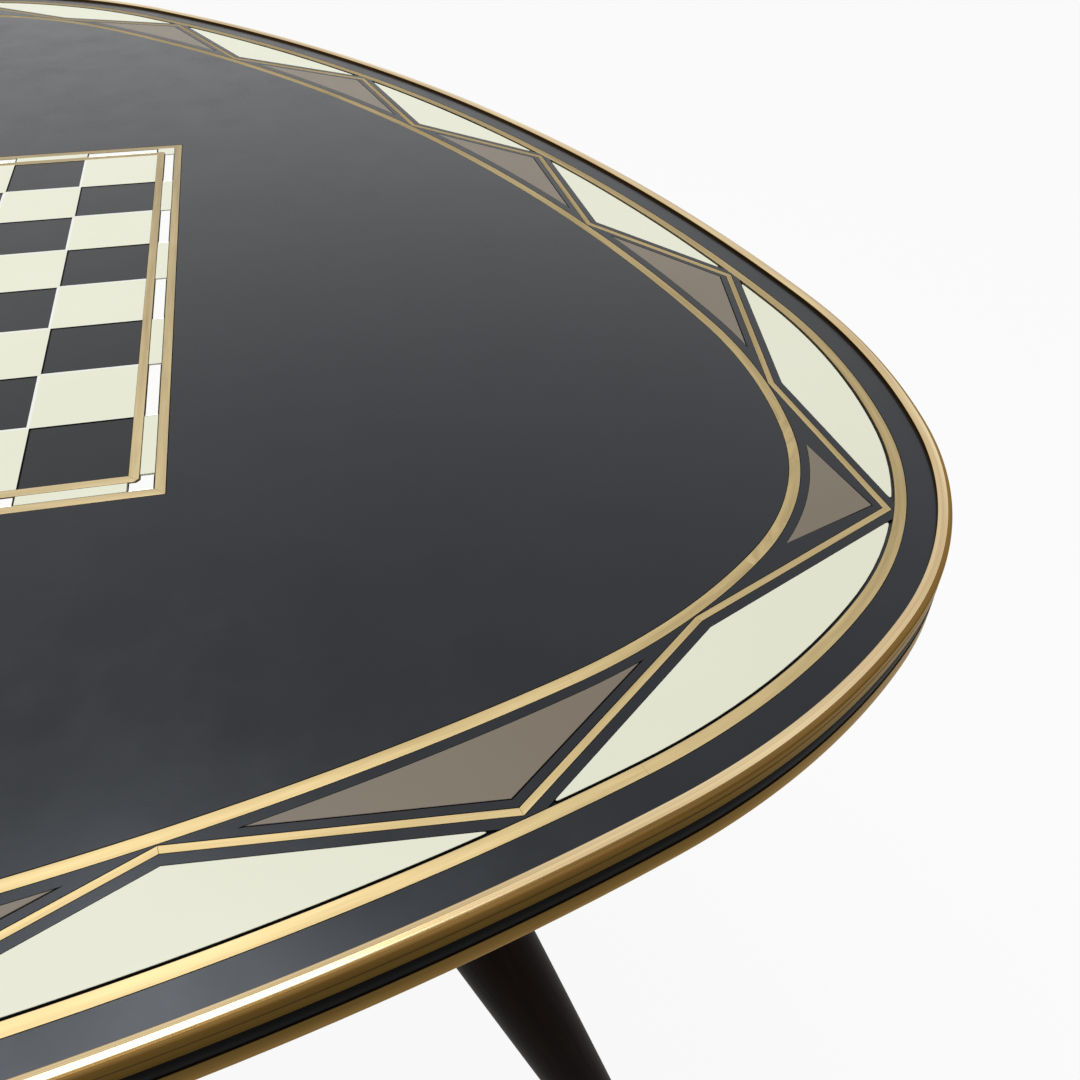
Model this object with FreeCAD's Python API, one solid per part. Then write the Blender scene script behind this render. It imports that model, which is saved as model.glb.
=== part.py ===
import FreeCAD, Part
import math
import os

from FreeCAD import Placement, Rotation, Vector

# A three-legged chess table. Its top is a rounded triangle with an inlaid board, a border
# of brass lines and coloured inlays, and a metal edge that holds a black insert strip.
# Millimetres, +Z up. The origin is on the floor, under the middle of the top's box, and
# -Y is the side with a flat run between the two near corners.

# ---- the top's outline, along the sheet's visible edge -----------------------------
table_height = 580.0       # floor to the rim's highest line
corner_radius = 131.8      # each corner is tight in the middle
flank_radius = 235.4       # and easier on both flanks
side_radius = 818.5        # before the long, flat side begins
corner_turn = 20.6         # degrees from a corner's axis to the end of the tight arc
flank_turn = 42.1          # the same to the end of the flank
corner_angles = (90.0, 210.0, 330.0)

# ---- layers of the top -------------------------------------------------------------
core_thickness = 13.0
sheet_thickness = 2.0      # black laminate on top
backing_thickness = 0.8    # laminate on the underside
inlay_thickness = 0.9      # brass lines and coloured pieces of the border
fit_gap = 0.12             # glue line round every inlaid piece

# ---- metal edge, measured outwards from the visible edge and down from the sheet ---
edge_width = 4.4
edge_overlap = 1.4         # how far the lip covers the sheet
edge_clearance = 0.1       # between the edge's web and the board
lip_height = 1.7
nose_radius = 1.6
heel_radius = 1.2
flange_thickness = 0.8
flange_reach = 3.0         # how far the lower flange covers the underside
bead_width = 0.5           # the two fine lines along the rim
bead_depth = 0.3
top_bead = 1.2             # from the nose's start back to the line in the lip
wall_bead = 1.4            # from the nose's end down to the line in the wall
insert_top = 4.8
insert_height = 5.4
insert_depth = 1.8
insert_clearance = 0.1
insert_rise = 0.2          # the insert's crown stands this far short of the wall

# ---- screws that hold the edge, hidden behind the insert ---------------------------
edge_screw_shank = 1.1     # radius
edge_screw_head = 2.1      # radius
edge_screw_length = 14.0
edge_screws_per_arc = (1, 1, 1, 3)    # flank, corner, flank, side
edge_screw_sink = 0.1      # head below the slot's floor
screw_clearance = 0.1

# ---- border lines and inlays -------------------------------------------------------
outer_band = 8.7           # black band between the metal edge and the outer brass line
ring_width = 3.5           # both brass lines
border_width = 28.1        # between the two brass lines
ring_joint = 0.12          # open joint between two lengths of brass line
zigzag_width = 2.1
zigzag_outer_margin = 2.0  # from a brass line to the zigzag's turning points
zigzag_inner_margin = 1.5
zigzag_turns = (0.0, 9.2, 21.7, 31.0, 45.0, 58.0, 71.7, 87.3, 97.9, 110.0)  # past a corner
zigzag_joint = 0.08
cream_gap = 3.4            # black left between the zigzag and a cream piece
cream_ring_gap = 1.4
taupe_gap = 2.4
taupe_ring_gap = 4.0

# ---- chess board -------------------------------------------------------------------
squares = 8
square = 32.0
black_square = 30.2
board_thickness = 1.2      # cream sheet and everything in the board's frame
black_tile_thickness = 0.6
black_tile_sink = 0.2      # black squares below the cream sheet
frame_strip = 3.2          # brass strips inside and outside the patterned border
frame_corner_cut = 2.5     # off the inner strips' outer corners
pattern_strip = 4.7        # width of that border
mirror_margin = 0.45       # open line round a mirror plate
mirror_sink = 0.6          # mirror plates below the brass strips
board_shift = -9.9         # board's centre from the centre of the top, along Y

# ---- legs --------------------------------------------------------------------------
leg_radius_out = 151.0     # centre of the top to the leg's axis, at the underside
leg_splay = 21.6           # degrees from vertical
leg_top_radius = 29.8
leg_middle_radius = 21.5
leg_middle_at = 320.0      # from the leg's top end
leg_end_radius = 13.5      # where the ferrule begins
leg_top_rounding = 2.0
seat_drop = 22.0           # underside of the top to the centre of the leg's seat
block_length = 78.0        # along the splay
block_width = 70.0
block_rounding = 10.0
ferrule_length = 40.0
ferrule_end_radius = 11.5
ferrule_wall = 0.9
foot_gap = 9.0             # ferrule's end to the floor, along the leg's axis
glide_radius = 7.5
glide_pin_radius = 2.0
glide_pin_length = 16.0

# ---- leg fixings -------------------------------------------------------------------
bolt_radius = 4.0
bolt_in_block = 18.0
bolt_in_leg = 38.0
bolt_point = 4.0
thread_gap = 0.05          # threads are plain cylinders
nut_radius = 6.0
nut_length = 15.0
nut_flange_radius = 9.0
nut_flange_thickness = 1.2
block_screw_pitch_x = 60.0
block_screw_pitch_y = 52.0
block_screw_head = 4.2     # radius
block_screw_shank = 2.1    # radius
block_screw_seat = 8.0     # underside of the top to the widest line of the head
block_screw_grip = 10.5    # thread in the top
block_screw_access = 5.0   # radius of the bore for the screwdriver

# ---- worked out from the values above ----------------------------------------------
UP = Vector(0, 0, 1)
top_z = table_height - lip_height
underside_z = top_z - sheet_thickness - core_thickness - backing_thickness
board_edge = edge_overlap - edge_clearance
# The arcs run into each other without a kink, and each side's centre lies on its own axis.
to_corner_end = math.radians(60 - corner_turn)
to_flank_end = math.radians(60 - flank_turn)
corner_arc_out = ((flank_radius - corner_radius) * math.sin(to_corner_end)
                  + (side_radius - flank_radius) * math.sin(to_flank_end)) / math.sin(math.radians(60))
side_setback = ((flank_radius - corner_radius) * math.cos(to_corner_end)
                + (side_radius - flank_radius) * math.cos(to_flank_end) - corner_arc_out / 2)
corner_reach = corner_arc_out + corner_radius
side_reach = side_radius - side_setback
centre = Vector(0, -(corner_reach - side_reach) / 2, 0)
outer_ring = -outer_band
outer_ring_inside = outer_ring - ring_width
inner_ring = outer_ring_inside - border_width
inner_ring_inside = inner_ring - ring_width
board_half = squares * square / 2
inner_frame_half = board_half + frame_strip
pattern_half = inner_frame_half + pattern_strip
outer_frame_half = pattern_half + frame_strip
board_centre = centre + Vector(0, board_shift, 0)


def polar(angle, radius):
    """A point in plan at an angle in degrees from +X."""
    turn = math.radians(angle)
    return Vector(radius * math.cos(turn), radius * math.sin(turn), 0)


def at_height(shape, z):
    """The shape, lifted."""
    shape.translate(Vector(0, 0, z))
    return shape


def slab(face, z, thickness):
    """A plan face at z = 0, as a sheet whose top is at z."""
    return at_height(face.extrude(Vector(0, 0, thickness)), z - thickness)


def polygon_face(points):
    return Part.Face(Part.makePolygon(list(points) + [points[0]]))


def square_face(half):
    """A square of the board, about the board's centre."""
    corner = board_centre - Vector(half, half, 0)
    return Part.makePlane(2 * half, 2 * half, corner)


# ---- outline -----------------------------------------------------------------------

def outline_arcs(offset):
    """The outline's twelve tangent arcs: centre, radius, first and last angle. A corner's
    flank, its tight arc and its other flank come first, then the side that follows."""
    arcs = []
    for corner in corner_angles:
        tight = centre + polar(corner, corner_arc_out)
        before = tight + polar(corner - corner_turn, corner_radius - flank_radius)
        after = tight + polar(corner + corner_turn, corner_radius - flank_radius)
        side = centre - polar(corner + 60, side_setback)
        arcs += [
            (before, flank_radius + offset, corner - flank_turn, corner - corner_turn),
            (tight, corner_radius + offset, corner - corner_turn, corner + corner_turn),
            (after, flank_radius + offset, corner + corner_turn, corner + flank_turn),
            (side, side_radius + offset, corner + flank_turn, corner + 120 - flank_turn)]
    return arcs


def arc_edge(middle, radius, first, last):
    points = [middle + polar(angle, radius) for angle in (first, (first + last) / 2, last)]
    return Part.Arc(*points).toShape()


def outline_face(offset):
    """Everything inside the outline, moved outwards by offset."""
    return Part.Face(Part.Wire([arc_edge(*arc) for arc in outline_arcs(offset)]))


def outline_point(angle, offset):
    """Where a ray from the centre meets the outline."""
    for middle, radius, first, last in outline_arcs(offset):
        arm = middle - centre
        along = arm.dot(polar(angle, 1))
        inside_root = along ** 2 - arm.dot(arm) + radius ** 2
        if inside_root < 0:
            continue
        point = centre + polar(angle, along + math.sqrt(inside_root))
        spoke = point - middle
        if (math.degrees(math.atan2(spoke.y, spoke.x)) - first) % 360 <= last - first:
            return point


def swept_ring(section):
    """A closed ring round the outline. section(place) gives the edges of its cross-section,
    where place(out, z) is a point that far outside the outline."""
    ring = None
    for middle, radius, first, last in outline_arcs(0):
        def place(out, z):
            return middle + polar(first, radius + out) + Vector(0, 0, top_z + z)
        face = Part.Face(Part.Wire(section(place)))
        piece = face.revolve(middle, UP, last - first)
        ring = piece if ring is None else ring.fuse(piece)
    return ring.removeSplitter()


def ring_lengths(outside, inside):
    """A flat line round the top in six lengths, with an open joint between them."""
    arcs = outline_arcs(0)
    lengths = []
    for k in range(0, len(arcs), 4):
        lengths += [ring_length(arcs[k:k + 3], outside, inside),
                    ring_length(arcs[k + 3:k + 4], outside, inside)]
    return lengths


def ring_length(arcs, outside, inside):
    """One length of a flat line, along neighbouring arcs, short of the joint at both ends."""
    edges = []
    for n, (middle, radius, first, last) in enumerate(arcs):
        trim = math.degrees(ring_joint / 2 / radius)
        start = first + trim if n == 0 else first
        end = last - trim if n == len(arcs) - 1 else last
        edges += [arc_edge(middle, radius + out, start, end) for out in (outside, inside)]
        if n == 0:
            edges.append(Part.makeLine(middle + polar(start, radius + outside),
                                       middle + polar(start, radius + inside)))
        if n == len(arcs) - 1:
            edges.append(Part.makeLine(middle + polar(end, radius + outside),
                                       middle + polar(end, radius + inside)))
    return Part.Face(Part.Wire(Part.__sortEdges__(edges)))


# ---- border pattern ----------------------------------------------------------------

def zigzag_points():
    """Turning points, on the outside and the inside of the border in turn."""
    offsets = (outer_ring_inside - zigzag_outer_margin, inner_ring + zigzag_inner_margin)
    return [outline_point(corner + turn, offsets[count % 2])
            for corner in corner_angles for count, turn in enumerate(zigzag_turns)]


def offset_polygon(points, distance):
    """The closed polygon with every side moved outwards, mitred at its turns."""
    moved = []
    for k, point in enumerate(points):
        before = (point - points[k - 1]).normalize()
        after = (points[(k + 1) % len(points)] - point).normalize()
        normal = Vector(before.y + after.y, -before.x - after.x, 0)
        mitre = normal.normalize()
        moved.append(point + mitre * (distance / mitre.dot(Vector(before.y, -before.x, 0))))
    return moved


def zigzag_faces(slack):
    """One mitred length of brass for each side of the zigzag."""
    outside = offset_polygon(zigzag, zigzag_width / 2 + slack)
    inside = offset_polygon(zigzag, -zigzag_width / 2 - slack)
    faces = []
    for k in range(len(zigzag)):
        after = (k + 1) % len(zigzag)
        along = (zigzag[after] - zigzag[k]).normalize() * (zigzag_joint / 2 - slack)
        faces.append(polygon_face([outside[k] + along, outside[after] - along,
                                   inside[after] - along, inside[k] + along]))
    return faces


def wedge(points, k, stretch):
    """A triangle from turning point k, along the lines to its two neighbours."""
    ends = [points[k] + (points[j % len(points)] - points[k]) * stretch for j in (k - 1, k + 1)]
    return polygon_face([points[k]] + ends)


def cream_faces(slack):
    """The pieces outside the zigzag, one at each inner turning point."""
    points = offset_polygon(zigzag, zigzag_width / 2 + cream_gap - slack)
    limit = outline_face(outer_ring_inside - cream_ring_gap + slack)
    past_the_ring = 2.5
    return [wedge(points, k, past_the_ring).common(limit) for k in range(1, len(points), 2)]


def taupe_faces(slack):
    """The pieces inside the zigzag, one at each outer turning point."""
    points = offset_polygon(zigzag, -zigzag_width / 2 - taupe_gap + slack)
    limit = outline_face(inner_ring + taupe_ring_gap - slack)
    return [wedge(points, k, 1).cut(limit) for k in range(0, len(points), 2)]


# ---- the top -----------------------------------------------------------------------

def core_board():
    core = slab(outline_face(board_edge), top_z - sheet_thickness, core_thickness)
    holes = [edge_screw_hole(place) for place in edge_screw_places()]
    for corner in corner_angles:
        for place in block_screw_places(corner):
            holes.append(block_screw(place, screw_clearance))
    return core.cut(Part.makeCompound(holes))


def backing_sheet():
    sheet = slab(outline_face(board_edge), underside_z + backing_thickness, backing_thickness)
    holes = []
    for corner in corner_angles:
        for place in block_screw_places(corner):
            holes.append(block_screw(place, screw_clearance))
    return sheet.cut(Part.makeCompound(holes))


def black_top_sheet():
    """The black laminate, with a shallow pocket for each inlaid piece."""
    sheet = slab(outline_face(board_edge), top_z, sheet_thickness)
    pockets = [ring_pocket(outer_ring, outer_ring_inside), ring_pocket(inner_ring, inner_ring_inside)]
    pockets += zigzag_faces(fit_gap) + cream_faces(fit_gap) + taupe_faces(fit_gap)
    tools = [slab(face, top_z, inlay_thickness) for face in pockets]
    tools.append(slab(square_face(outer_frame_half + fit_gap), top_z, board_thickness))
    return sheet.cut(tools)


def ring_pocket(outside, inside):
    return outline_face(outside + fit_gap).cut(outline_face(inside - fit_gap))


def inlays(faces):
    return Part.makeCompound([slab(face, top_z, inlay_thickness) for face in faces])


def board_pieces(faces):
    return Part.makeCompound([slab(face, top_z, board_thickness) for face in faces])


# ---- chess board -------------------------------------------------------------------

def cell_centre(column, row):
    """Middle of a square; columns run along +X and rows along +Y."""
    first = (1 - squares) * square / 2
    return board_centre + Vector(first + column * square, first + row * square, 0)


def black_cells():
    return [cell_centre(column, row) for column in range(squares) for row in range(squares)
            if (column + row) % 2 == 1]


def tiles(half, top, thickness):
    """A square tile for each black square."""
    shapes = []
    for cell in black_cells():
        face = Part.makePlane(2 * half, 2 * half, cell - Vector(half, half, 0))
        shapes.append(slab(face, top, thickness))
    return shapes


def board_cream_sheet():
    """The playing field, with a recess for each black square."""
    sheet = slab(square_face(board_half - fit_gap), top_z, board_thickness)
    recess = black_tile_sink + black_tile_thickness
    return sheet.cut(tiles(black_square / 2 + fit_gap, top_z, recess))


def board_black_squares():
    return Part.makeCompound(tiles(black_square / 2, top_z - black_tile_sink, black_tile_thickness))


def turned_about_board(face, turn):
    """A face drawn for the near side, turned to another side of the board."""
    face.rotate(Vector(0, 0, 0), UP, turn)
    face.translate(board_centre)
    return face


def mitred_frame(outside, inside):
    """Four strips round the board, mitred at the corners."""
    strips = []
    for turn in (0, 90, 180, 270):
        points = [Vector(-outside + fit_gap, -outside, 0), Vector(outside - fit_gap, -outside, 0),
                  Vector(inside - fit_gap, -inside, 0), Vector(-inside + fit_gap, -inside, 0)]
        strips.append(turned_about_board(polygon_face(points), turn))
    return strips


def board_inner_frame():
    """The inner strips, with the frame's outer corners cut off."""
    corners = []
    for turn in (0, 90, 180, 270):
        points = cut_corner_points(0)
        corners.append(turned_about_board(polygon_face(points), turn))
    strips = []
    for strip in mitred_frame(inner_frame_half, board_half):
        strips.append(strip.cut(corners))
    return board_pieces(strips)


def cut_corner_points(grow):
    """The triangle cut off the inner frame's near right corner, its long side moved inwards."""
    corner = Vector(inner_frame_half + frame_strip, -inner_frame_half - frame_strip, 0)
    leg = 2 * frame_strip + frame_corner_cut + grow * math.sqrt(2)
    return [corner, corner + Vector(0, leg, 0), corner - Vector(leg, 0, 0)]


def pattern_faces(black_side, margin):
    """The border plates beside the black squares, or those beside the cream ones, with the
    two corner plates that carry the same pattern on round the corner."""
    faces = []
    width = pattern_strip - 2 * margin
    length = square - 2 * margin
    for side in range(4):
        for cell in range(squares):
            if ((cell + side) % 2 == 1) == black_side:
                middle = (cell + (1 - squares) / 2) * square
                near = Vector(middle - length / 2, -pattern_half + margin, 0)
                faces.append(turned_about_board(Part.makePlane(length, width, near), 90 * side))
    for turn in (90, 270) if black_side else (0, 180):
        faces.append(turned_about_board(corner_plate(margin), turn))
    return faces


def corner_plate(margin):
    """The plate round the near right corner of the inner frame."""
    size = pattern_half - board_half - 2 * margin
    plate = Part.makePlane(size, size, Vector(board_half + margin, -pattern_half + margin, 0))
    reach = inner_frame_half + margin
    frame = polygon_face([Vector(0, 0, 0), Vector(reach, 0, 0), Vector(reach, -reach, 0),
                          Vector(0, -reach, 0)])
    return plate.cut(frame.cut(polygon_face(cut_corner_points(-margin))))


def pattern_mirror_plates():
    thickness = board_thickness - mirror_sink
    faces = pattern_faces(False, mirror_margin)
    return Part.makeCompound([slab(face, top_z - mirror_sink, thickness) for face in faces])


# ---- metal edge --------------------------------------------------------------------

def edge_section(place):
    """A channel that wraps the board's edge, with two fine lines and a slot for the insert."""
    wall = edge_width
    stack = sheet_thickness + core_thickness + backing_thickness
    bottom = -stack - flange_thickness
    nose = wall - nose_radius
    nose_end = lip_height - nose_radius
    slot = wall - insert_depth
    lines = [(0, 0), (0, lip_height),
             (nose - top_bead - bead_width, lip_height),
             (nose - top_bead - bead_width / 2, lip_height - bead_depth),
             (nose - top_bead, lip_height), (nose, lip_height)]
    diagonal = math.sqrt(0.5)
    nose_arc = [(nose, lip_height),
                (nose + nose_radius * diagonal, nose_end + nose_radius * diagonal),
                (wall, nose_end)]
    side = [(wall, nose_end), (wall, nose_end - wall_bead),
            (wall - bead_depth, nose_end - wall_bead - bead_width / 2),
            (wall, nose_end - wall_bead - bead_width),
            (wall, -insert_top), (slot, -insert_top),
            (slot, -insert_top - insert_height), (wall, -insert_top - insert_height),
            (wall, bottom + heel_radius)]
    heel = wall - heel_radius
    heel_arc = [(wall, bottom + heel_radius),
                (heel + heel_radius * diagonal, bottom + heel_radius * (1 - diagonal)),
                (heel, bottom)]
    back = [(heel, bottom), (edge_overlap - flange_reach, bottom),
            (edge_overlap - flange_reach, -stack), (edge_overlap, -stack),
            (edge_overlap, 0), (0, 0)]
    edges = []
    for run in (lines, side, back):
        edges += Part.makePolygon([place(*point) for point in run]).Edges
    for arc in (nose_arc, heel_arc):
        edges.append(Part.Arc(*[place(*point) for point in arc]).toShape())
    return Part.__sortEdges__(edges)


def insert_section(place):
    """The black strip: flat at the back, with a slight crown at the front."""
    back = edge_width - insert_depth
    face = edge_width - insert_rise
    shoulder = face - insert_rise
    high = -insert_top - insert_clearance
    low = -insert_top - insert_height + insert_clearance
    corners = [(shoulder, low), (back, low), (back, high), (shoulder, high)]
    edges = Part.makePolygon([place(*point) for point in corners]).Edges
    crown = [place(shoulder, high), place(face, (high + low) / 2), place(shoulder, low)]
    edges.append(Part.Arc(*crown).toShape())
    return Part.__sortEdges__(edges)


def edge_profile():
    ring = swept_ring(edge_section)
    return ring.cut([edge_screw_hole(place) for place in edge_screw_places()])


def edge_screw_places():
    """Point on the slot's floor and outward angle of each screw."""
    places = []
    floor_out = edge_width - insert_depth
    height = top_z - insert_top - insert_height / 2
    for k, (middle, radius, first, last) in enumerate(outline_arcs(floor_out)):
        count = edge_screws_per_arc[k % len(edge_screws_per_arc)]
        for n in range(count):
            angle = first + (last - first) * (n + 0.5) / count
            places.append((middle + polar(angle, radius) + Vector(0, 0, height), angle))
    return places


def edge_screw(place, clearance=0.0):
    """A countersunk screw whose head lies just below the slot's floor."""
    web = edge_width - insert_depth - edge_overlap
    head = edge_screw_head + clearance
    shank = edge_screw_shank + clearance
    tip = edge_screw_length + clearance
    outline = [(0, -edge_screw_sink), (head, -edge_screw_sink), (shank, -web),
               (shank, -tip + shank), (0, -tip)]
    return facing_out(turned(outline), place)


def edge_screw_hole(place):
    """The screw with room round it, open to the slot."""
    radius = edge_screw_head + screw_clearance
    mouth = Part.makeCylinder(radius, 2 * edge_screw_sink, Vector(0, 0, -edge_screw_sink))
    return edge_screw(place, screw_clearance).fuse(facing_out(mouth, place))


def facing_out(shape, place):
    """Turn a shape's Z to point outwards at a place on the rim."""
    point, angle = place
    shape.Placement = Placement(point, Rotation(UP, polar(angle, 1)))
    return shape


def turned(outline):
    """A solid of revolution about Z from (radius, z) points."""
    points = [Vector(radius, 0, z) for radius, z in outline]
    return polygon_face(points).revolve(Vector(0, 0, 0), UP, 360)


# ---- legs --------------------------------------------------------------------------

leg_tilt = math.radians(leg_splay)
leg_to_floor = (underside_z - seat_drop) / math.cos(leg_tilt)
leg_length = leg_to_floor - foot_gap


def leg_placement(corner):
    """The frame at a leg's seat: its Z runs up the leg's axis and its X leans outwards."""
    out = leg_radius_out + seat_drop * math.tan(leg_tilt)
    seat = centre + polar(corner, out) + Vector(0, 0, underside_z - seat_drop)
    return Placement(seat, Rotation(UP, corner) * Rotation(Vector(0, 1, 0), -leg_splay))


def placed(shape, corner):
    shape.Placement = leg_placement(corner)
    return shape


def leg(corner):
    """Turned with a gentle swelling, bored for the bolt, stepped down for the ferrule."""
    step = leg_length - ferrule_length
    spigot = leg_end_radius - ferrule_wall - fit_gap
    spigot_end = ferrule_end_radius - ferrule_wall - fit_gap
    swell = [Vector(leg_top_radius, 0, -leg_top_rounding),
             Vector(leg_middle_radius, 0, -leg_middle_at), Vector(leg_end_radius, 0, -step)]
    lower = [swell[2], Vector(spigot, 0, -step), Vector(spigot_end, 0, -leg_length + ferrule_wall),
             Vector(0, 0, -leg_length + ferrule_wall), Vector(0, 0, 0),
             Vector(leg_top_radius - leg_top_rounding, 0, 0), swell[0]]
    edges = [Part.Arc(*swell).toShape()] + Part.makePolygon(lower).Edges
    body = Part.Face(Part.Wire(edges)).revolve(Vector(0, 0, 0), UP, 360)
    return placed(body.cut([hanger_bolt_shape(thread_gap), glide_pin(thread_gap)]), corner)


def leg_block(corner):
    """A wedge under the top whose lower face is square to the leg."""
    height = seat_drop + block_length * math.tan(leg_tilt)
    block = Part.makeBox(block_length, block_width, height,
                         Vector(-block_length / 2, -block_width / 2, -height))
    block = block.makeFillet(block_rounding, [edge for edge in block.Edges
                                              if abs(edge.tangentAt(edge.FirstParameter).z) > 0.9])
    out = leg_radius_out + seat_drop * math.tan(leg_tilt)
    place = centre + polar(corner, out) + Vector(0, 0, underside_z)
    block.Placement = Placement(place, Rotation(UP, corner))
    below = Part.makeBox(4 * block_length, 4 * block_width, 2 * height,
                         Vector(-2 * block_length, -2 * block_width, -2 * height))
    cuts = [placed(below, corner), placed(insert_nut_shape(fit_gap), corner),
            placed(hanger_bolt_shape(thread_gap), corner)]
    for point in block_screw_places(corner):
        cuts.append(block_screw(point, screw_clearance))
        cuts.append(Part.makeCylinder(block_screw_access, height, point, Vector(0, 0, -1)))
    return block.cut(cuts)


def block_screw_places(corner):
    """Widest line of each screw head, in the four corners of a block."""
    out = leg_radius_out + seat_drop * math.tan(leg_tilt)
    places = []
    for x in (-block_screw_pitch_x / 2, block_screw_pitch_x / 2):
        for y in (-block_screw_pitch_y / 2, block_screw_pitch_y / 2):
            point = Placement(Vector(), Rotation(UP, corner)).multVec(Vector(out + x, y, 0))
            places.append(centre + point + Vector(0, 0, underside_z - block_screw_seat))
    return places


def block_screw(point, clearance):
    """A countersunk wood screw, driven upwards."""
    head = block_screw_head + clearance
    shank = block_screw_shank + clearance
    tip = block_screw_seat + block_screw_grip + clearance
    taper = head - shank
    screw = turned([(0, 0), (head, 0), (shank, taper), (shank, tip - shank), (0, tip)])
    screw.translate(point)
    return screw


def hanger_bolt_shape(clearance):
    """Machine thread upwards into the nut, wood thread with a point down into the leg."""
    radius = bolt_radius + clearance
    end = -bolt_in_leg - clearance
    return turned([(0, bolt_in_block + clearance), (radius, bolt_in_block + clearance),
                   (radius, end + bolt_point), (0, end)])


def insert_nut_shape(clearance):
    """A flanged nut let into the block's seat."""
    flange = nut_flange_radius + clearance
    body = nut_radius + clearance
    bore = bolt_radius + thread_gap
    return turned([(bore, 0), (flange, 0), (flange, nut_flange_thickness),
                   (body, nut_flange_thickness), (body, nut_length + clearance),
                   (bore, nut_length + clearance)])


def ferrule(corner):
    """A tapered brass cup over the leg's end, with a hole for the glide's pin."""
    step = leg_length - ferrule_length
    cup = turned([(glide_pin_radius + thread_gap, -leg_length),
                  (ferrule_end_radius, -leg_length), (leg_end_radius, -step),
                  (leg_end_radius - ferrule_wall, -step),
                  (ferrule_end_radius - ferrule_wall, -leg_length + ferrule_wall),
                  (glide_pin_radius + thread_gap, -leg_length + ferrule_wall)])
    return placed(cup, corner)


def glide_pin(clearance):
    length = glide_pin_length + clearance
    return Part.makeCylinder(glide_pin_radius + clearance, length, Vector(0, 0, -leg_length))


def glide(corner):
    """A plastic foot in line with the leg, cut level where it stands on the floor."""
    long_enough = foot_gap + 2 * glide_radius
    pad = Part.makeCylinder(glide_radius, long_enough, Vector(0, 0, -leg_length - long_enough))
    foot = placed(pad.fuse(glide_pin(0)), corner)
    reach = corner_reach + edge_width
    floor = Part.makeBox(4 * reach, 4 * reach, 2 * reach, Vector(-2 * reach, -2 * reach, -2 * reach))
    return foot.cut(floor).removeSplitter()


# ---- every node --------------------------------------------------------------------

zigzag = zigzag_points()
leg_names = dict(zip(corner_angles, ("back", "left", "right")))

nodes = {
    "core_board": core_board(),
    "backing_sheet": backing_sheet(),
    "black_top_sheet": black_top_sheet(),
    "outer_brass_line": inlays(ring_lengths(outer_ring, outer_ring_inside)),
    "inner_brass_line": inlays(ring_lengths(inner_ring, inner_ring_inside)),
    "zigzag_brass_line": inlays(zigzag_faces(0)),
    "cream_border_inlays": inlays(cream_faces(0)),
    "taupe_border_inlays": inlays(taupe_faces(0)),
    "board_cream_sheet": board_cream_sheet(),
    "board_black_squares": board_black_squares(),
    "board_inner_frame": board_inner_frame(),
    "board_outer_frame": board_pieces(mitred_frame(outer_frame_half, pattern_half)),
    "pattern_cream_plates": board_pieces(pattern_faces(True, fit_gap)),
    "pattern_mirror_plates": pattern_mirror_plates(),
    "edge_profile": edge_profile(),
    "edge_insert": swept_ring(insert_section),
    "edge_screws": Part.makeCompound([edge_screw(place) for place in edge_screw_places()]),
    "insert_nuts": Part.makeCompound([placed(insert_nut_shape(0), corner)
                                      for corner in corner_angles]),
    "hanger_bolts": Part.makeCompound([placed(hanger_bolt_shape(0), corner)
                                       for corner in corner_angles]),
    "block_screws": Part.makeCompound([block_screw(place, 0) for corner in corner_angles
                                       for place in block_screw_places(corner)]),
}
for corner, name in leg_names.items():
    nodes["leg_" + name] = leg(corner)
    nodes["leg_block_" + name] = leg_block(corner)
    nodes["ferrule_" + name] = ferrule(corner)
    nodes["glide_" + name] = glide(corner)

os.makedirs("parts", exist_ok=True)
for name, shape in nodes.items():
    shape.exportStep("parts/" + name + ".step")
    print(name, len(shape.Solids), "solids", round(shape.Volume / 1000, 2), "cm3",
          "valid" if shape.isValid() else "NOT VALID")
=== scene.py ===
# %% [markdown]
# # A chess table with an inlaid top
#
# The real table is a board of plywood with black laminate on it. Thin brass lines, cream and
# taupe laminate and a small chess board are let into the laminate, a brass channel wraps the
# edge, and three turned legs stand on brass ferrules.
#
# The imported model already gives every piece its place. Here each visible piece is modelled
# again with smooth curves, broken edges and a worked-out finish, in the same place. All
# lengths below are in millimetres and become metres where they are drawn.

# %% Load the frame
import math

import bmesh
import bpy
from mathutils import Matrix, Vector


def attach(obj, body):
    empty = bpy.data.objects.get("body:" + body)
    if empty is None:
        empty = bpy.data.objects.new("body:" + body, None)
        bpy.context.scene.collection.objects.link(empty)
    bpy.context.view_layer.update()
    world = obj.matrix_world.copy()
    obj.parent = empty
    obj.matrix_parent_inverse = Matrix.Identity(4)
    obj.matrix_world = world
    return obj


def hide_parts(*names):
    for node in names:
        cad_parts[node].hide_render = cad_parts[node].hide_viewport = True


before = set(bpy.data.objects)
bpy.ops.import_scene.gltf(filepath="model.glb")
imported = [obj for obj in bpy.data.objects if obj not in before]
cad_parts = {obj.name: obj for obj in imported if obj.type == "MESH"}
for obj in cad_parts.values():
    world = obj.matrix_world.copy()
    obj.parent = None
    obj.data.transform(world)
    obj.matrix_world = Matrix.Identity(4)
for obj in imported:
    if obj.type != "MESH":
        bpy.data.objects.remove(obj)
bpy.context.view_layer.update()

MM = 0.001

# %% [markdown]
# ## Camera
#
# The camera stands low over the front of the top and looks down across it, so the border and
# the board's corner are large and the far side runs out of view.

# %% Camera
camera_data = bpy.data.cameras.new("camera")
camera_data.lens = 35.92
camera_data.sensor_width = 36.0
camera_data.clip_start = 0.01
camera = bpy.data.objects.new("camera", camera_data)
bpy.context.scene.collection.objects.link(camera)
camera.location = (0.18774, -0.46198, 0.77884)
camera.rotation_euler = [math.radians(turn) for turn in (49.060, -0.874, -13.062)]
bpy.context.scene.camera = camera
bpy.context.scene.view_settings.view_transform = "Standard"
print("camera at", tuple(camera.location))

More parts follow.
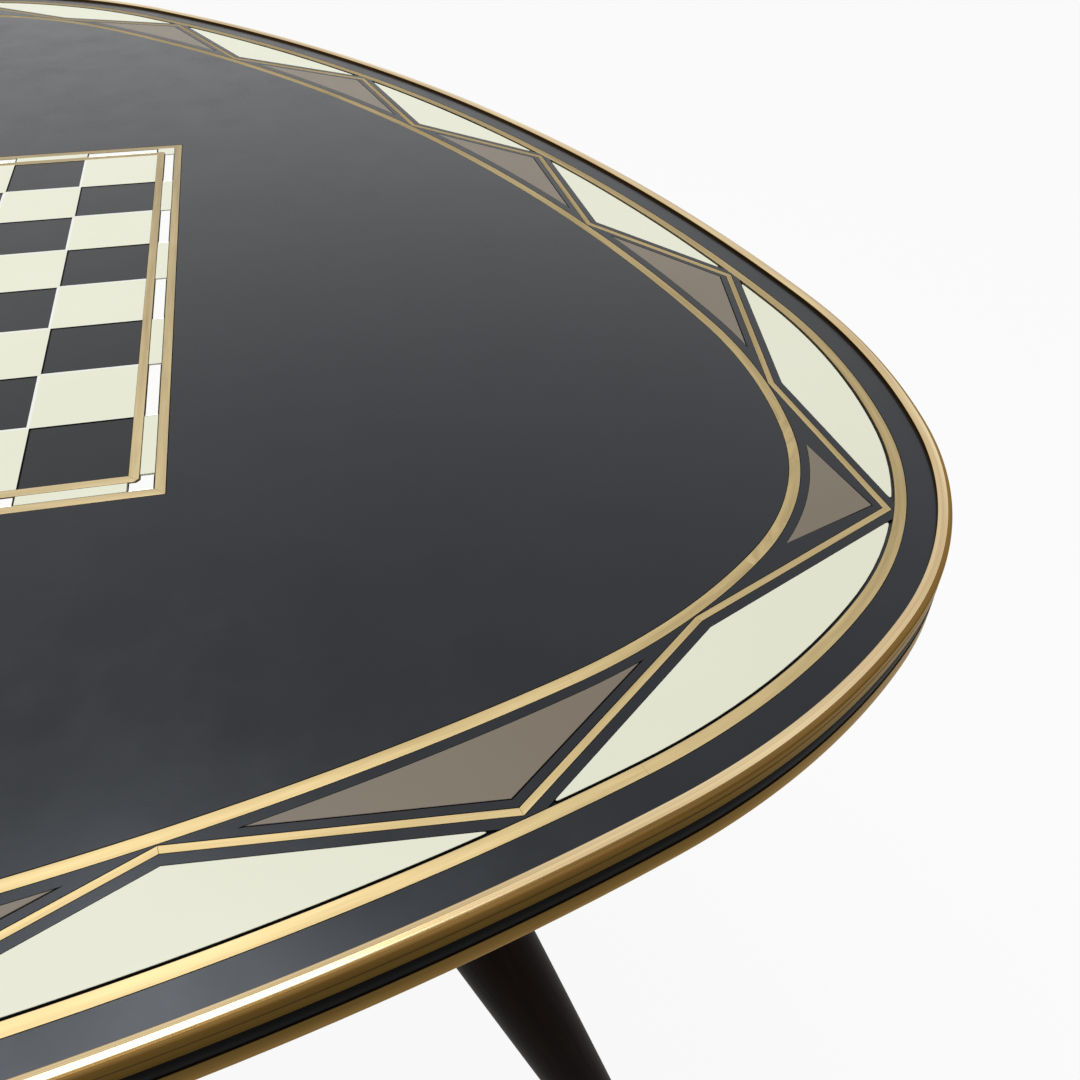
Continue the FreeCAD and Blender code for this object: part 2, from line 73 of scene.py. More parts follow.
# %% [markdown]
# ## Node helper and colours
#
# Every material below is a small tree of nodes. One helper adds a node: a value that is a
# socket is linked, and anything else is typed into the input. Colours are written the way a
# paint card or a web page gives them, and one function turns them into the linear values that
# a shader works in. Most finishes differ only in the patterns that drive their colour, gloss
# and relief, so one function connects those three.

# %% Helpers for materials
def linear(code):
    """The linear colour of an sRGB hex value such as "#4B4E53"."""
    parts = [int(code[k:k + 2], 16) / 255 for k in (1, 3, 5)]
    return [p / 12.92 if p <= 0.04045 else ((p + 0.055) / 1.055) ** 2.4 for p in parts] + [1.0]


def node(tree, kind, inputs=None, **settings):
    """Add a node with its settings, and link or type its inputs."""
    added = tree.nodes.new(kind)
    for key, value in settings.items():
        setattr(added, key, value)
    for key, value in (inputs or {}).items():
        if isinstance(value, bpy.types.NodeSocket):
            tree.links.new(value, added.inputs[key])
        else:
            added.inputs[key].default_value = value
    return added


def new_material(name, **surface):
    """A material with one Principled shader. Underscores in the settings stand for spaces."""
    material = bpy.data.materials.new(name)
    material.use_nodes = True
    shader = material.node_tree.nodes["Principled BSDF"]
    for key, value in surface.items():
        shader.inputs[key.replace("_", " ")].default_value = value
    return material, material.node_tree, shader


def dress(tree, shader, tone=None, gloss=None, relief=None, contrast=(0.0, 1.0)):
    """Let patterns drive a shader. Tone is (pattern, dark hex, light hex), gloss is (pattern,
    lowest, highest roughness) and relief is (pattern, strength, height in mm). Contrast is the
    part of the gloss pattern's range that is used."""
    if tone:
        pattern, low, high = tone
        mix = node(tree, "ShaderNodeMix",
                   {0: pattern.outputs[0], 6: linear(low), 7: linear(high)}, data_type="RGBA")
        tree.links.new(mix.outputs[2], shader.inputs["Base Color"])
    if gloss:
        pattern, low, high = gloss
        spread = node(tree, "ShaderNodeMapRange",
                      {"Value": pattern.outputs[0], "From Min": contrast[0],
                       "From Max": contrast[1], "To Min": low, "To Max": high})
        tree.links.new(spread.outputs[0], shader.inputs["Roughness"])
    if relief:
        pattern, strength, height = relief
        bump = node(tree, "ShaderNodeBump",
                    {"Height": pattern.outputs[0], "Strength": strength, "Distance": height * MM})
        tree.links.new(bump.outputs[0], shader.inputs["Normal"])


print("linear #808080 is", round(linear("#808080")[0], 4))

# %% [markdown]
# ## Studio: light, world and floor
#
# The table stands in a plain white studio. The world lights it softly from all round, and a
# large lamp hangs above the left side of the top. It gives the floor a soft shadow, and its
# reflection is the bright sheen on the near left of the brass and the laminate.
# For the camera and for reflections the world is plain white; its light on matt surfaces is
# weaker, so that pale laminate doesn't burn out.

# %% World
SOFT_LIGHT = 0.34        # share of the world's white that lights matt surfaces


def plainly_seen(tree):
    """A socket that is 1 for what the camera or a reflection sees, and 0 for light."""
    ray = node(tree, "ShaderNodeLightPath").outputs
    seen = node(tree, "ShaderNodeMath", {0: ray["Is Camera Ray"], 1: ray["Is Glossy Ray"]},
                operation="MAXIMUM")
    return node(tree, "ShaderNodeMath", {0: seen.outputs[0], 1: ray["Is Transmission Ray"]},
                operation="MAXIMUM").outputs[0]


world = bpy.data.worlds.new("studio")
bpy.context.scene.world = world
world.use_nodes = True
tree = world.node_tree
tree.nodes.clear()
strength = node(tree, "ShaderNodeMapRange",
                {"Value": plainly_seen(tree), "To Min": SOFT_LIGHT, "To Max": 1.0})
light = node(tree, "ShaderNodeBackground", {"Color": (1, 1, 1, 1), "Strength": strength.outputs[0]})
node(tree, "ShaderNodeOutputWorld", {"Surface": light.outputs[0]})
print("world nodes:", len(tree.nodes))

# %% Lamps
TABLE_TOP = Vector((0.0, -0.04, 0.58))


def lamp(name, azimuth, elevation, distance, size, watts):
    """A square lamp that faces the table; azimuth runs from +Y towards -X, in degrees."""
    turn, rise = math.radians(azimuth), math.radians(elevation)
    away = Vector((-math.sin(turn) * math.cos(rise), math.cos(turn) * math.cos(rise), math.sin(rise)))
    data = bpy.data.lights.new(name, "AREA")
    data.size, data.energy = size, watts
    holder = bpy.data.objects.new(name, data)
    bpy.context.scene.collection.objects.link(holder)
    holder.location = TABLE_TOP + away * distance
    holder.rotation_euler = (-away).to_track_quat("-Z", "Y").to_euler()
    return holder


lamp("key", azimuth=50, elevation=79, distance=1.92, size=1.15, watts=24)

# %% [markdown]
# The floor is a large white sheet. What the camera and the reflections see of it is mostly a
# plain white, mixed with a real matt floor that keeps the table's shadow.

# %% Floor
PLAIN_WHITE = 0.92       # share of the floor's look that is plain white; the rest is in the light

bpy.ops.object.select_all(action="DESELECT")
bpy.ops.mesh.primitive_plane_add(size=24.0, location=(0, 0, 0))
floor = bpy.context.object
floor.name = "studio_floor"
material, tree, shader = new_material("white_studio_floor", Base_Color=linear("#F4F4F4"), Roughness=0.9)
share = node(tree, "ShaderNodeMath", {0: plainly_seen(tree), 1: PLAIN_WHITE}, operation="MULTIPLY")
glow = node(tree, "ShaderNodeEmission", {"Color": (1, 1, 1, 1), "Strength": 1.0})
blend = node(tree, "ShaderNodeMixShader", {0: share.outputs[0], 1: shader.outputs[0], 2: glow.outputs[0]})
tree.links.new(blend.outputs[0], tree.nodes["Material Output"].inputs["Surface"])
floor.data.materials.append(material)
print("floor", floor.dimensions[:])

# %% [markdown]
# ## Modelling helpers
#
# Almost every piece is a flat shape with a thickness, or a section that is swept round. Both
# start from one point: a small plane is merged to a vertex, and the next points are extruded
# from it one by one, as when a section is drawn by hand. Spin then sweeps a section about the
# middle of an arc, which gives exact curves. Spin turns clockwise for a positive angle, so the
# angle goes in with a minus sign.

# %% Drawing and sweeping
def draw(name, points, closed=True, face=False):
    """A new object in edit mode whose points are extruded one from another."""
    points = [Vector(point).to_3d() * MM for point in points]
    bpy.ops.object.select_all(action="DESELECT")
    bpy.ops.mesh.primitive_plane_add(size=MM, location=points[0])
    bpy.ops.object.transform_apply(location=True, rotation=True, scale=True)
    drawn = bpy.context.object
    drawn.name = drawn.data.name = name
    drawn.data.uv_layers.remove(drawn.data.uv_layers[0])
    bpy.ops.object.mode_set(mode="EDIT")
    bpy.ops.mesh.merge(type="CENTER")
    path = points + points[:1] if closed and not face else points
    for here, there in zip(path, path[1:]):
        bpy.ops.mesh.extrude_region_move(TRANSFORM_OT_translate={"value": there - here})
    bpy.ops.mesh.select_all(action="SELECT")
    if face:
        bpy.ops.mesh.edge_face_add()
    elif closed:
        bpy.ops.mesh.remove_doubles(threshold=MM / 1000)
    return drawn


def spin(middle, degrees, steps):
    """Sweep what is selected about an upright axis through middle, anticlockwise."""
    bpy.ops.mesh.spin(steps=steps, angle=-math.radians(degrees), center=Vector(middle) * MM,
                      axis=(0, 0, 1))


def select(obj, kind, test):
    """Select the vertices, edges or faces of an object in edit mode that pass a test."""
    bpy.ops.mesh.select_mode(type=kind)
    bpy.ops.mesh.select_all(action="DESELECT")
    mesh = bmesh.from_edit_mesh(obj.data)
    for item in {"VERT": mesh.verts, "EDGE": mesh.edges, "FACE": mesh.faces}[kind]:
        if test(item):
            item.select_set(True)
    mesh.select_flush_mode()
    bmesh.update_edit_mesh(obj.data)


def close_up(obj, smooth=35, merge=0.002):
    """Merge doubles within some mm, point the faces outwards and leave edit mode."""
    bpy.ops.mesh.select_mode(type="VERT")
    bpy.ops.mesh.select_all(action="SELECT")
    bpy.ops.mesh.remove_doubles(threshold=merge * MM)
    bpy.ops.mesh.normals_make_consistent(inside=False)
    bpy.ops.object.mode_set(mode="OBJECT")
    if smooth:
        bpy.ops.object.shade_smooth_by_angle(angle=math.radians(smooth))
        even = obj.modifiers.new("even_normals", "WEIGHTED_NORMAL")
        even.keep_sharp = True
        bpy.ops.object.modifier_apply(modifier=even.name)
    return obj


def prism(name, points, top, thickness, bevel=0.0):
    """A flat piece with its upper face at top and its upper edges broken by a bevel."""
    piece = draw(name, [(x, y, top - thickness) for x, y in points], face=True)
    bpy.ops.mesh.extrude_region_move(TRANSFORM_OT_translate={"value": (0, 0, thickness * MM)})
    if bevel:
        select(piece, "EDGE", lambda edge: all(abs(v.co.z - top * MM) < 1e-6 for v in edge.verts))
        bpy.ops.mesh.bevel(offset=bevel * MM, segments=2, affect="EDGES")
    return close_up(piece, smooth=0)


print("helpers ready")

# %% [markdown]
# Pieces that repeat are made once and copied. A copy keeps a mesh of its own, and the copies
# that belong to one node are joined, so each finished object stands for one node of the frame.

# %% Copying, joining and hanging up
def copied(obj, shift=(0, 0, 0), turn=0.0, about=(0, 0, 0)):
    """A copy with its own mesh, turned anticlockwise about a point and then moved."""
    bpy.ops.object.select_all(action="DESELECT")
    copy = obj.copy()
    copy.data = obj.data.copy()
    bpy.context.scene.collection.objects.link(copy)
    copy.select_set(True)
    bpy.context.view_layer.objects.active = copy
    middle = Matrix.Translation(Vector(about).to_3d() * MM)
    copy.matrix_world = (Matrix.Translation(Vector(shift).to_3d() * MM) @ middle
                         @ Matrix.Rotation(math.radians(turn), 4, "Z") @ middle.inverted())
    bpy.ops.object.transform_apply(location=True, rotation=True, scale=True)
    return copy


def joined(name, objects):
    """One object from several."""
    bpy.ops.object.select_all(action="DESELECT")
    for obj in objects:
        obj.select_set(True)
    bpy.context.view_layer.objects.active = objects[0]
    bpy.ops.object.join()
    result = bpy.context.object
    result.name = result.data.name = name
    return result


def hang(obj, nodes, materials=()):
    """Give a piece its materials and hang it on the frame in place of CAD nodes."""
    for material in materials:
        obj.data.materials.append(material)
    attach(obj, "root")
    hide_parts(*nodes)
    mesh = bmesh.new()
    mesh.from_mesh(obj.data)
    open_edges = sum(not edge.is_manifold for edge in mesh.edges)
    print(f"{obj.name}: {len(mesh.faces)} faces, {open_edges} open edges, "
          f"{mesh.calc_volume() * 1e6:.2f} cm3")
    mesh.free()
    return obj


def rounded(corners, segments=4):
    """A closed section from (out, z, radius) corners, with an arc at each corner."""
    outline = []
    for k, (out, z, radius) in enumerate(corners):
        point = Vector((out, z))
        if not radius:
            outline.append(point)
            continue
        before = (Vector(corners[k - 1][:2]) - point).normalized()
        after = (Vector(corners[(k + 1) % len(corners)][:2]) - point).normalized()
        half = before.angle(after) / 2
        middle = point + (before + after).normalized() * (radius / math.sin(half))
        first = point + before * (radius / math.tan(half)) - middle
        last = point + after * (radius / math.tan(half)) - middle
        sweep = first.angle_signed(last)
        count = max(2, round(segments * radius ** 0.3))
        for n in range(count + 1):
            outline.append(middle + Matrix.Rotation(-sweep * n / count, 2) @ first)
    return outline


print("copying ready")

# %% [markdown]
# ## The outline
#
# The top is a triangle with round corners and bulging sides. Each corner has a tight arc with
# an easier flank on both sides, and a long flat arc runs from one corner to the next. The arcs
# meet without a kink, and everything in the border is a fixed distance in from them.

# %% Outline
TOP_Z, UNDERSIDE_Z = 578.3, 562.5
CORNERS = (90.0, 210.0, 330.0)
TIGHT, FLANK, SIDE = 131.8, 235.4, 818.5          # radii
TIGHT_TURN, FLANK_TURN = 20.6, 42.1               # degrees from a corner's axis


def polar(angle, radius):
    turn = math.radians(angle)
    return Vector((radius * math.cos(turn), radius * math.sin(turn)))


# The middles of the arcs follow from one rule: a side's middle lies on the side's own axis.
to_side = polar(60 - TIGHT_TURN, FLANK - TIGHT) + polar(60 - FLANK_TURN, SIDE - FLANK)
TIGHT_OUT = to_side.y / math.sin(math.radians(60))
SETBACK = to_side.x - TIGHT_OUT / 2
CENTRE = Vector((0.0, -(TIGHT_OUT + TIGHT - SIDE + SETBACK) / 2))


def outline_arcs():
    """Middle, radius, first and last angle of the twelve arcs, anticlockwise."""
    arcs = []
    for corner in CORNERS:
        tight = CENTRE + polar(corner, TIGHT_OUT)
        before = tight - polar(corner - TIGHT_TURN, FLANK - TIGHT)
        after = tight - polar(corner + TIGHT_TURN, FLANK - TIGHT)
        arcs += [(before, FLANK, corner - FLANK_TURN, corner - TIGHT_TURN),
                 (tight, TIGHT, corner - TIGHT_TURN, corner + TIGHT_TURN),
                 (after, FLANK, corner + TIGHT_TURN, corner + FLANK_TURN),
                 (CENTRE - polar(corner + 60, SETBACK), SIDE, corner + FLANK_TURN,
                  corner + 120 - FLANK_TURN)]
    return arcs


ARCS = outline_arcs()
print("corner", round(TIGHT_OUT + TIGHT, 2), "and side", round(SIDE - SETBACK, 2), "mm from the centre")

# %% [markdown]
# Two questions come back all the time: how far outside the edge is a point, and how far along
# the edge is it? The arc whose sector holds the point answers both. The distance along also
# becomes the U of a UV map, so that brushed grain runs with the line it is on.

# %% Places along the outline
def nearest_arc(point):
    """Index of the arc whose sector holds a point near the edge."""
    def miss(k):
        middle, radius, first, last = ARCS[k]
        arm = Vector(point[:2]) - middle
        angle = math.degrees(math.atan2(arm.y, arm.x))
        return abs((angle - (first + last) / 2 + 180) % 360 - 180) - (last - first) / 2
    return min(range(len(ARCS)), key=lambda k: (miss(k) > 0.001, miss(k)))


def offset_of(point):
    """Distance of a point outside the edge, in plan."""
    middle, radius, first, last = ARCS[nearest_arc(point)]
    return (Vector(point[:2]) - middle).length - radius


def length_along(point, arc):
    """Distance along the edge, measured on a given arc."""
    middle, radius, first, last = ARCS[arc]
    arm = Vector(point[:2]) - middle
    angle = math.degrees(math.atan2(arm.y, arm.x))
    past = (angle - first + 180) % 360 - 180
    start = sum(r * math.radians(b - a) for _, r, a, b in ARCS[:arc])
    return start + math.radians(past) * radius


def map_along_outline(obj):
    """UV map "grain": U runs along the edge and V across it, in metres."""
    layer = obj.data.uv_layers.new(name="grain")
    for face in obj.data.polygons:
        arc = nearest_arc(face.center / MM)
        middle, radius, first, last = ARCS[arc]
        for loop in face.loop_indices:
            point = obj.data.vertices[obj.data.loops[loop].vertex_index].co / MM
            out = (point.to_2d() - middle).length - radius
            layer.data[loop].uv = (length_along(point, arc) * MM, (out - point.z) * MM)


def map_straight(obj, along):
    """UV map "grain" for a straight bar: U runs along it and V across it."""
    along = Vector(along).to_2d().normalized()
    across = Vector((-along.y, along.x))
    layer = obj.data.uv_layers.new(name="grain")
    for loop in obj.data.loops:
        point = obj.data.vertices[loop.vertex_index].co
        layer.data[loop.index].uv = (point.to_2d().dot(along), point.to_2d().dot(across) - point.z)


print("the centre is", round(offset_of(CENTRE + polar(30, 1)), 2), "mm outside the edge")

# %% Sweeping round the outline
def sweep(name, section, arcs, trim=0.0, face=False):
    """Draw an (out, z) section at the start of some arcs and spin it along them."""
    middle, radius, first, last = arcs[0]
    points = []
    for out, z in section:
        plan = middle + polar(first + math.degrees(trim / radius), radius + out)
        points.append((plan.x, plan.y, TOP_Z + z))
    swept = draw(name, points, face=face)
    for middle, radius, first, last in arcs:
        degrees = last - first
        for end in (arcs[0], arcs[-1]):
            if (middle, radius, first, last) == end:
                degrees -= math.degrees(trim / radius)
        spin((*middle, 0), degrees, steps=round(6 + degrees * radius ** 0.5 / 16))
    return close_up(swept, merge=0.01)


def swept_ring(name, section):
    """A closed ring with this section all round the outline."""
    return sweep(name, section, ARCS)


def in_thirds(obj, shift=(0, 0, 0)):
    """Three copies of a piece, one in each third of the top; the piece itself is deleted."""
    copies = [copied(obj, shift=shift, turn=turn, about=CENTRE) for turn in (0, 120, 240)]
    bpy.data.objects.remove(obj)
    return copies


def swept_lengths(name, section, joint):
    """The same section in six capped lengths, of which two are drawn."""
    lengths = [sweep(name, section, run, joint / 2, face=True) for run in (ARCS[:3], ARCS[3:4])]
    return joined(name, in_thirds(lengths[0]) + in_thirds(lengths[1]))


print("sweeps ready")

# %% [markdown]
# ## Black satin laminate
#
# High-pressure laminate: printed paper under melamine resin, pressed against a satin plate.
# The colour is a very dark, slightly blue grey, and most of the tone that is seen is the soft
# reflection of the room. The press plate leaves a very fine pebble, drawn 0.35 mm wide and so
# coarser than the real one, and handling leaves faint smudges that only change the gloss.

# %% Material: black laminate
def laminate(name, low, high, roughness, pebble=0.35, smudge=0.05, bump=0.02, ior=1.42):
    """Pressed laminate: a soft drift of tone, a fine pebble and faint smudges."""
    material, tree, shader = new_material(name, IOR=ior, Specular_Tint=linear("#E9F0FA"))
    place = node(tree, "ShaderNodeTexCoord").outputs["Object"]
    drift = node(tree, "ShaderNodeTexNoise", {"Vector": place, "Scale": 1 / (60 * MM), "Detail": 2.0})
    hands = node(tree, "ShaderNodeTexNoise",
                 {"Vector": place, "Scale": 1 / (22 * MM), "Detail": 4.0, "Roughness": 0.6})
    plate = node(tree, "ShaderNodeTexNoise",
                 {"Vector": place, "Scale": 1 / (pebble * MM), "Detail": 1.0})
    dress(tree, shader, (drift, low, high), (hands, roughness - smudge, roughness + smudge),
          (plate, 0.25, bump), contrast=(0.3, 0.7))
    return material


black_laminate = laminate("black_satin_laminate", "#121418", "#1A1C20", 0.25, ior=1.385)
print("made", black_laminate.name)

# %% [markdown]
# ## Satin brass
#
# The lines are cut from half-hard brass strip and sanded flat with the laminate, so the grain
# of the abrasive runs along each strip. Brass has no colour of its own under the reflection:
# its base colour is the colour of the reflection. The grain is drawn about 0.15 mm wide, which
# is coarser than a real 240-grit finish, so that it shows.

# %% Material: brushed brass
def brushed_brass(name, low, high, roughness, grain=0.15, length=14.0, bump=0.004, tint="#A6B1C6"):
    """Brass with its brushing along U of the UV map called grain. The tint is the colour that
    it takes where it is seen at a low angle."""
    material, tree, shader = new_material(name, Metallic=1.0, Specular_Tint=linear(tint))
    place = node(tree, "ShaderNodeUVMap", uv_map="grain").outputs[0]
    fine = node(tree, "ShaderNodeMapping",
                {"Vector": place, "Scale": (1 / (length * MM), 1 / (grain * MM), 1)})
    streak = node(tree, "ShaderNodeTexNoise", {"Vector": fine.outputs[0], "Scale": 1.0, "Detail": 3.0})
    wide = node(tree, "ShaderNodeMapping", {"Vector": place, "Scale": (1 / (70 * MM), 1 / (3 * MM), 1)})
    drift = node(tree, "ShaderNodeTexNoise", {"Vector": wide.outputs[0], "Scale": 1.0, "Detail": 1.0})
    both = node(tree, "ShaderNodeMath", {0: streak.outputs[0], 1: drift.outputs[0]}, operation="ADD")
    spread = node(tree, "ShaderNodeMapRange",
                  {"Value": both.outputs[0], "From Min": 0.6, "From Max": 1.4})
    dress(tree, shader, (spread, low, high), (streak, roughness - 0.05, roughness + 0.05),
          (streak, 0.3, bump))
    return material


line_brass = brushed_brass("satin_brass_line", "#9A8860", "#C4B083", roughness=0.5)
frame_brass = brushed_brass("brushed_brass_frame", "#A3926E", "#CAB88F", roughness=0.46)
print("made", line_brass.name, frame_brass.name)

# %% [markdown]
# ## Brass lines round the border
#
# Two flat strips run all round, each in six lengths with fine butt joints. The section is a
# small rectangle with its upper edges broken, swept along the arcs of the outline. It is a little
# narrower than its groove, and the dark line on both sides is that groove.

# %% Brass lines
INLAY = 0.9
GROOVE_SLACK = 0.04
OUTER_RING = (-8.7, -12.2)
INNER_RING = (-40.3, -43.8)


def ring_section(outside, inside):
    return rounded([(inside + GROOVE_SLACK, 0, 0.12), (outside - GROOVE_SLACK, 0, 0.12),
                    (outside - GROOVE_SLACK, -INLAY, 0), (inside + GROOVE_SLACK, -INLAY, 0)])


for node_name, (outside, inside) in (("outer_brass_line", OUTER_RING), ("inner_brass_line", INNER_RING)):
    line = swept_lengths(node_name + "_strip", ring_section(outside, inside), joint=0.04)
    map_along_outline(line)
    hang(line, [node_name], [line_brass])

# %% [markdown]
# ## Zigzag line
#
# Between the two lines a narrower strip zigzags. Its turning points repeat in each third of
# the top, and each straight length is mitred at both ends. A length is drawn as its plan,
# extruded and bevelled. Ten lengths fill a third, and copies fill the other two.

# %% Turning points of the zigzag
ZIGZAG_WIDTH = 2.1
ZIGZAG_MARGINS = (2.0, 1.5)      # from the outer and the inner line to the turning points
TURNS = (0.0, 9.2, 21.7, 31.0, 45.0, 58.0, 71.7, 87.3, 97.9, 110.0)   # degrees past a corner


def outline_point(angle, offset):
    """Where a ray from the centre crosses a line parallel to the edge, found by halving."""
    near, far = 250.0, 450.0
    for _ in range(40):
        middle = (near + far) / 2
        inside = offset_of(CENTRE + polar(angle, middle)) < offset
        near, far = (middle, far) if inside else (near, middle)
    return CENTRE + polar(angle, near)


def zigzag_points():
    offsets = (OUTER_RING[1] - ZIGZAG_MARGINS[0], INNER_RING[0] + ZIGZAG_MARGINS[1])
    return [outline_point(corner + turn, offsets[count % 2])
            for corner in CORNERS for count, turn in enumerate(TURNS)]


def offset_polygon(points, distance):
    """The closed polygon with every side moved outwards, mitred at its turns."""
    moved = []
    for k, point in enumerate(points):
        before = (point - points[k - 1]).normalized()
        after = (points[(k + 1) % len(points)] - point).normalized()
        mitre = Vector((before.y + after.y, -before.x - after.x)).normalized()
        moved.append(point + mitre * (distance / mitre.dot(Vector((before.y, -before.x)))))
    return moved


zigzag = zigzag_points()
print("turning points:", len(zigzag))

# %% Zigzag lengths
MITRE_GAP = 0.02                 # half of the joint between two lengths
side = ZIGZAG_WIDTH / 2 - GROOVE_SLACK
zig_outside, zig_inside = offset_polygon(zigzag, side), offset_polygon(zigzag, -side)
bars = []
for k in range(10):
    along = (zigzag[k + 1] - zigzag[k]).normalized() * MITRE_GAP
    plan = [zig_outside[k] + along, zig_outside[k + 1] - along,
            zig_inside[k + 1] - along, zig_inside[k] + along]
    bar = prism("zigzag_bar", plan, TOP_Z, INLAY, bevel=0.05)
    map_straight(bar, along)
    bars += in_thirds(bar)
hang(joined("zigzag_strip", bars), ["zigzag_brass_line"], [line_brass])

# %% [markdown]
# ## Cream and taupe inlays
#
# Outside the zigzag lie cream pieces, and inside it taupe ones. Each is a wedge between two
# lengths of the zigzag, cut off by a line parallel to the brass ring. The point where a side
# of the wedge meets that line is found by halving, and the short curve between the two
# meeting points is drawn on the line itself. The sharp ends of the cream pieces are sanded
# blunt, as a point would chip.

# %% Outlines of the border inlays
def meeting_point(start, through, offset):
    """Where the line from start through another point crosses a line parallel to the edge."""
    outwards = offset_of(start) < offset
    near, far = 0.0, 3.0
    for _ in range(40):
        middle = (near + far) / 2
        inside = offset_of(start + (through - start) * middle) < offset
        near, far = (middle, far) if inside == outwards else (near, middle)
    return start + (through - start) * near


def on_line(point, offset):
    """The point moved straight to a line parallel to the edge."""
    middle, radius, first, last = ARCS[nearest_arc(point)]
    return middle + (point - middle).normalized() * (radius + offset)


def blunt_tip(before, tip, after, length):
    """Points that round a sharp tip off, starting this far back from it."""
    first = tip + (before - tip).normalized() * length
    last = tip + (after - tip).normalized() * length
    return [first.lerp(tip, t).lerp(tip.lerp(last, t), t) for t in (0, 0.25, 0.5, 0.75, 1)]


def wedge_plan(k, distance, offset, blunt, steps=24):
    """The wedge at a turning point; its two sharp ends may be blunt."""
    points = offset_polygon(zigzag, distance)
    ends = [meeting_point(points[k], points[(k + step) % 30], offset) for step in (-1, 1)]
    curve = [on_line(ends[0].lerp(ends[1], n / steps), offset) for n in range(steps + 1)]
    if not blunt:
        return [points[k]] + curve
    return ([points[k]] + blunt_tip(points[k], curve[0], curve[1], blunt) + curve[1:-1]
            + blunt_tip(curve[-2], curve[-1], points[k], blunt))


# Distance from the middle of the zigzag, offset of the outer side from the edge, and how far
# back from its tip a sharp end is rounded.
CREAM_PLACE = (ZIGZAG_WIDTH / 2 + 2.6, OUTER_RING[1] - 1.1, 2.4)
TAUPE_PLACE = (-ZIGZAG_WIDTH / 2 - 2.1, INNER_RING[0] + 3.6, 0)
CREAM_SHIFT, TAUPE_SHIFT = Vector((0, -0.4, 0)), Vector((-0.5, 0.6, 0))
cream_plans = [wedge_plan(k, *CREAM_PLACE) for k in range(1, 10, 2)]
taupe_plans = [wedge_plan(k, *TAUPE_PLACE) for k in range(0, 10, 2)]
print("first cream piece is", round((cream_plans[0][1] - cream_plans[0][-1]).length, 2), "mm wide")

# %% [markdown]
# Cream laminate is the same kind of sheet in a pale, slightly green ivory. It is cut through
# its whole thickness on the board, and its sloped cut edges get a paler laminate, a painted
# highlight that shows as a thin lighter line. The taupe sheet is a warm grey-brown. Under its
# printed face such a sheet is brown kraft paper in resin, so the sides of the border pieces
# are nearly black.

# %% Materials: cream and taupe laminate
cream_laminate = laminate("cream_satin_laminate", "#F0F2DB", "#F5F6E1", 0.34, smudge=0.03, ior=1.36)
taupe_laminate = laminate("taupe_satin_laminate", "#7C7060", "#857A6A", 0.36, smudge=0.03)
# The paler edge laminate is painted highlight: a lighter colour on the cream squares' sloped edges that
# stands in for their shine.
painted_highlight_edge = laminate("cream_edge_painted_highlight", "#FCFDF8", "#FFFFFE", 0.2, smudge=0.03, ior=1.5)
kraft_core = laminate("kraft_paper_core", "#0E0A08", "#17110E", 0.5)
for colour, plans, shift, face_laminate in (("cream", cream_plans, CREAM_SHIFT, cream_laminate),
                                            ("taupe", taupe_plans, TAUPE_SHIFT, taupe_laminate)):
    pieces = []
    for plan in plans:
        pieces += in_thirds(prism("inlay", plan, TOP_Z, INLAY, bevel=0.12), shift)
    inlays = hang(joined(colour + "_inlays", pieces), [colour + "_border_inlays"],
                  [face_laminate, kraft_core])
    for face in inlays.data.polygons:
        face.material_index = 0 if face.normal.z > 0.1 else 1

# %% [markdown]
# ## Chess board
#
# The playing field is one cream sheet in which the black squares are let in a touch low. Each
# stands against the near right of its pocket, so a fine gap is left on its far and left sides.
# The sheet under the tiles, at the bottom of that gap, has the black laminate: painted shade that
# makes the gap a dark line. On the other two sides the cream slopes down to it with a paler
# edge, a painted highlight that shows as a light line. A cream square is raised from the sheet
# with those two slopes on it, and its upright sides show the dark core of the laminate.

# %% Cells of the board
BOARD_SHIFT = -9.9               # the board lies a little nearer than the top's centre
BOARD = CENTRE + Vector((0, BOARD_SHIFT))
SQUARE, BOARD_DEPTH = 32.0, 1.2
HALF_BOARD = 4 * SQUARE
BLACK_SINK, BLACK_DEPTH = 0.2, 0.6
# LIGHT_LINE is the width of the sloped edge with its painted highlight; DARK_LINE is the gap whose floor
# has painted shade.
LIGHT_LINE, LIGHT_DROP, DARK_LINE = 0.9, 0.05, 0.5


def box_plan(middle, half_x, half_y=None):
    half_y = half_x if half_y is None else half_y
    return [middle + Vector(corner) for corner in ((-half_x, -half_y), (half_x, -half_y),
                                                   (half_x, half_y), (-half_x, half_y))]


def black_tile(at_side, at_end):
    """A black square about its own middle; beside the frame it fills its cell."""
    half = SQUARE / 2
    right, near = (half - (0.1 if at_frame else LIGHT_LINE + 0.05) for at_frame in (at_side, at_end))
    far, left = half - DARK_LINE, half - DARK_LINE
    return prism("black_tile", [(-left, -near), (right, -near), (right, far), (-left, far)],
                 TOP_Z - BLACK_SINK, BLACK_DEPTH, bevel=0.08)


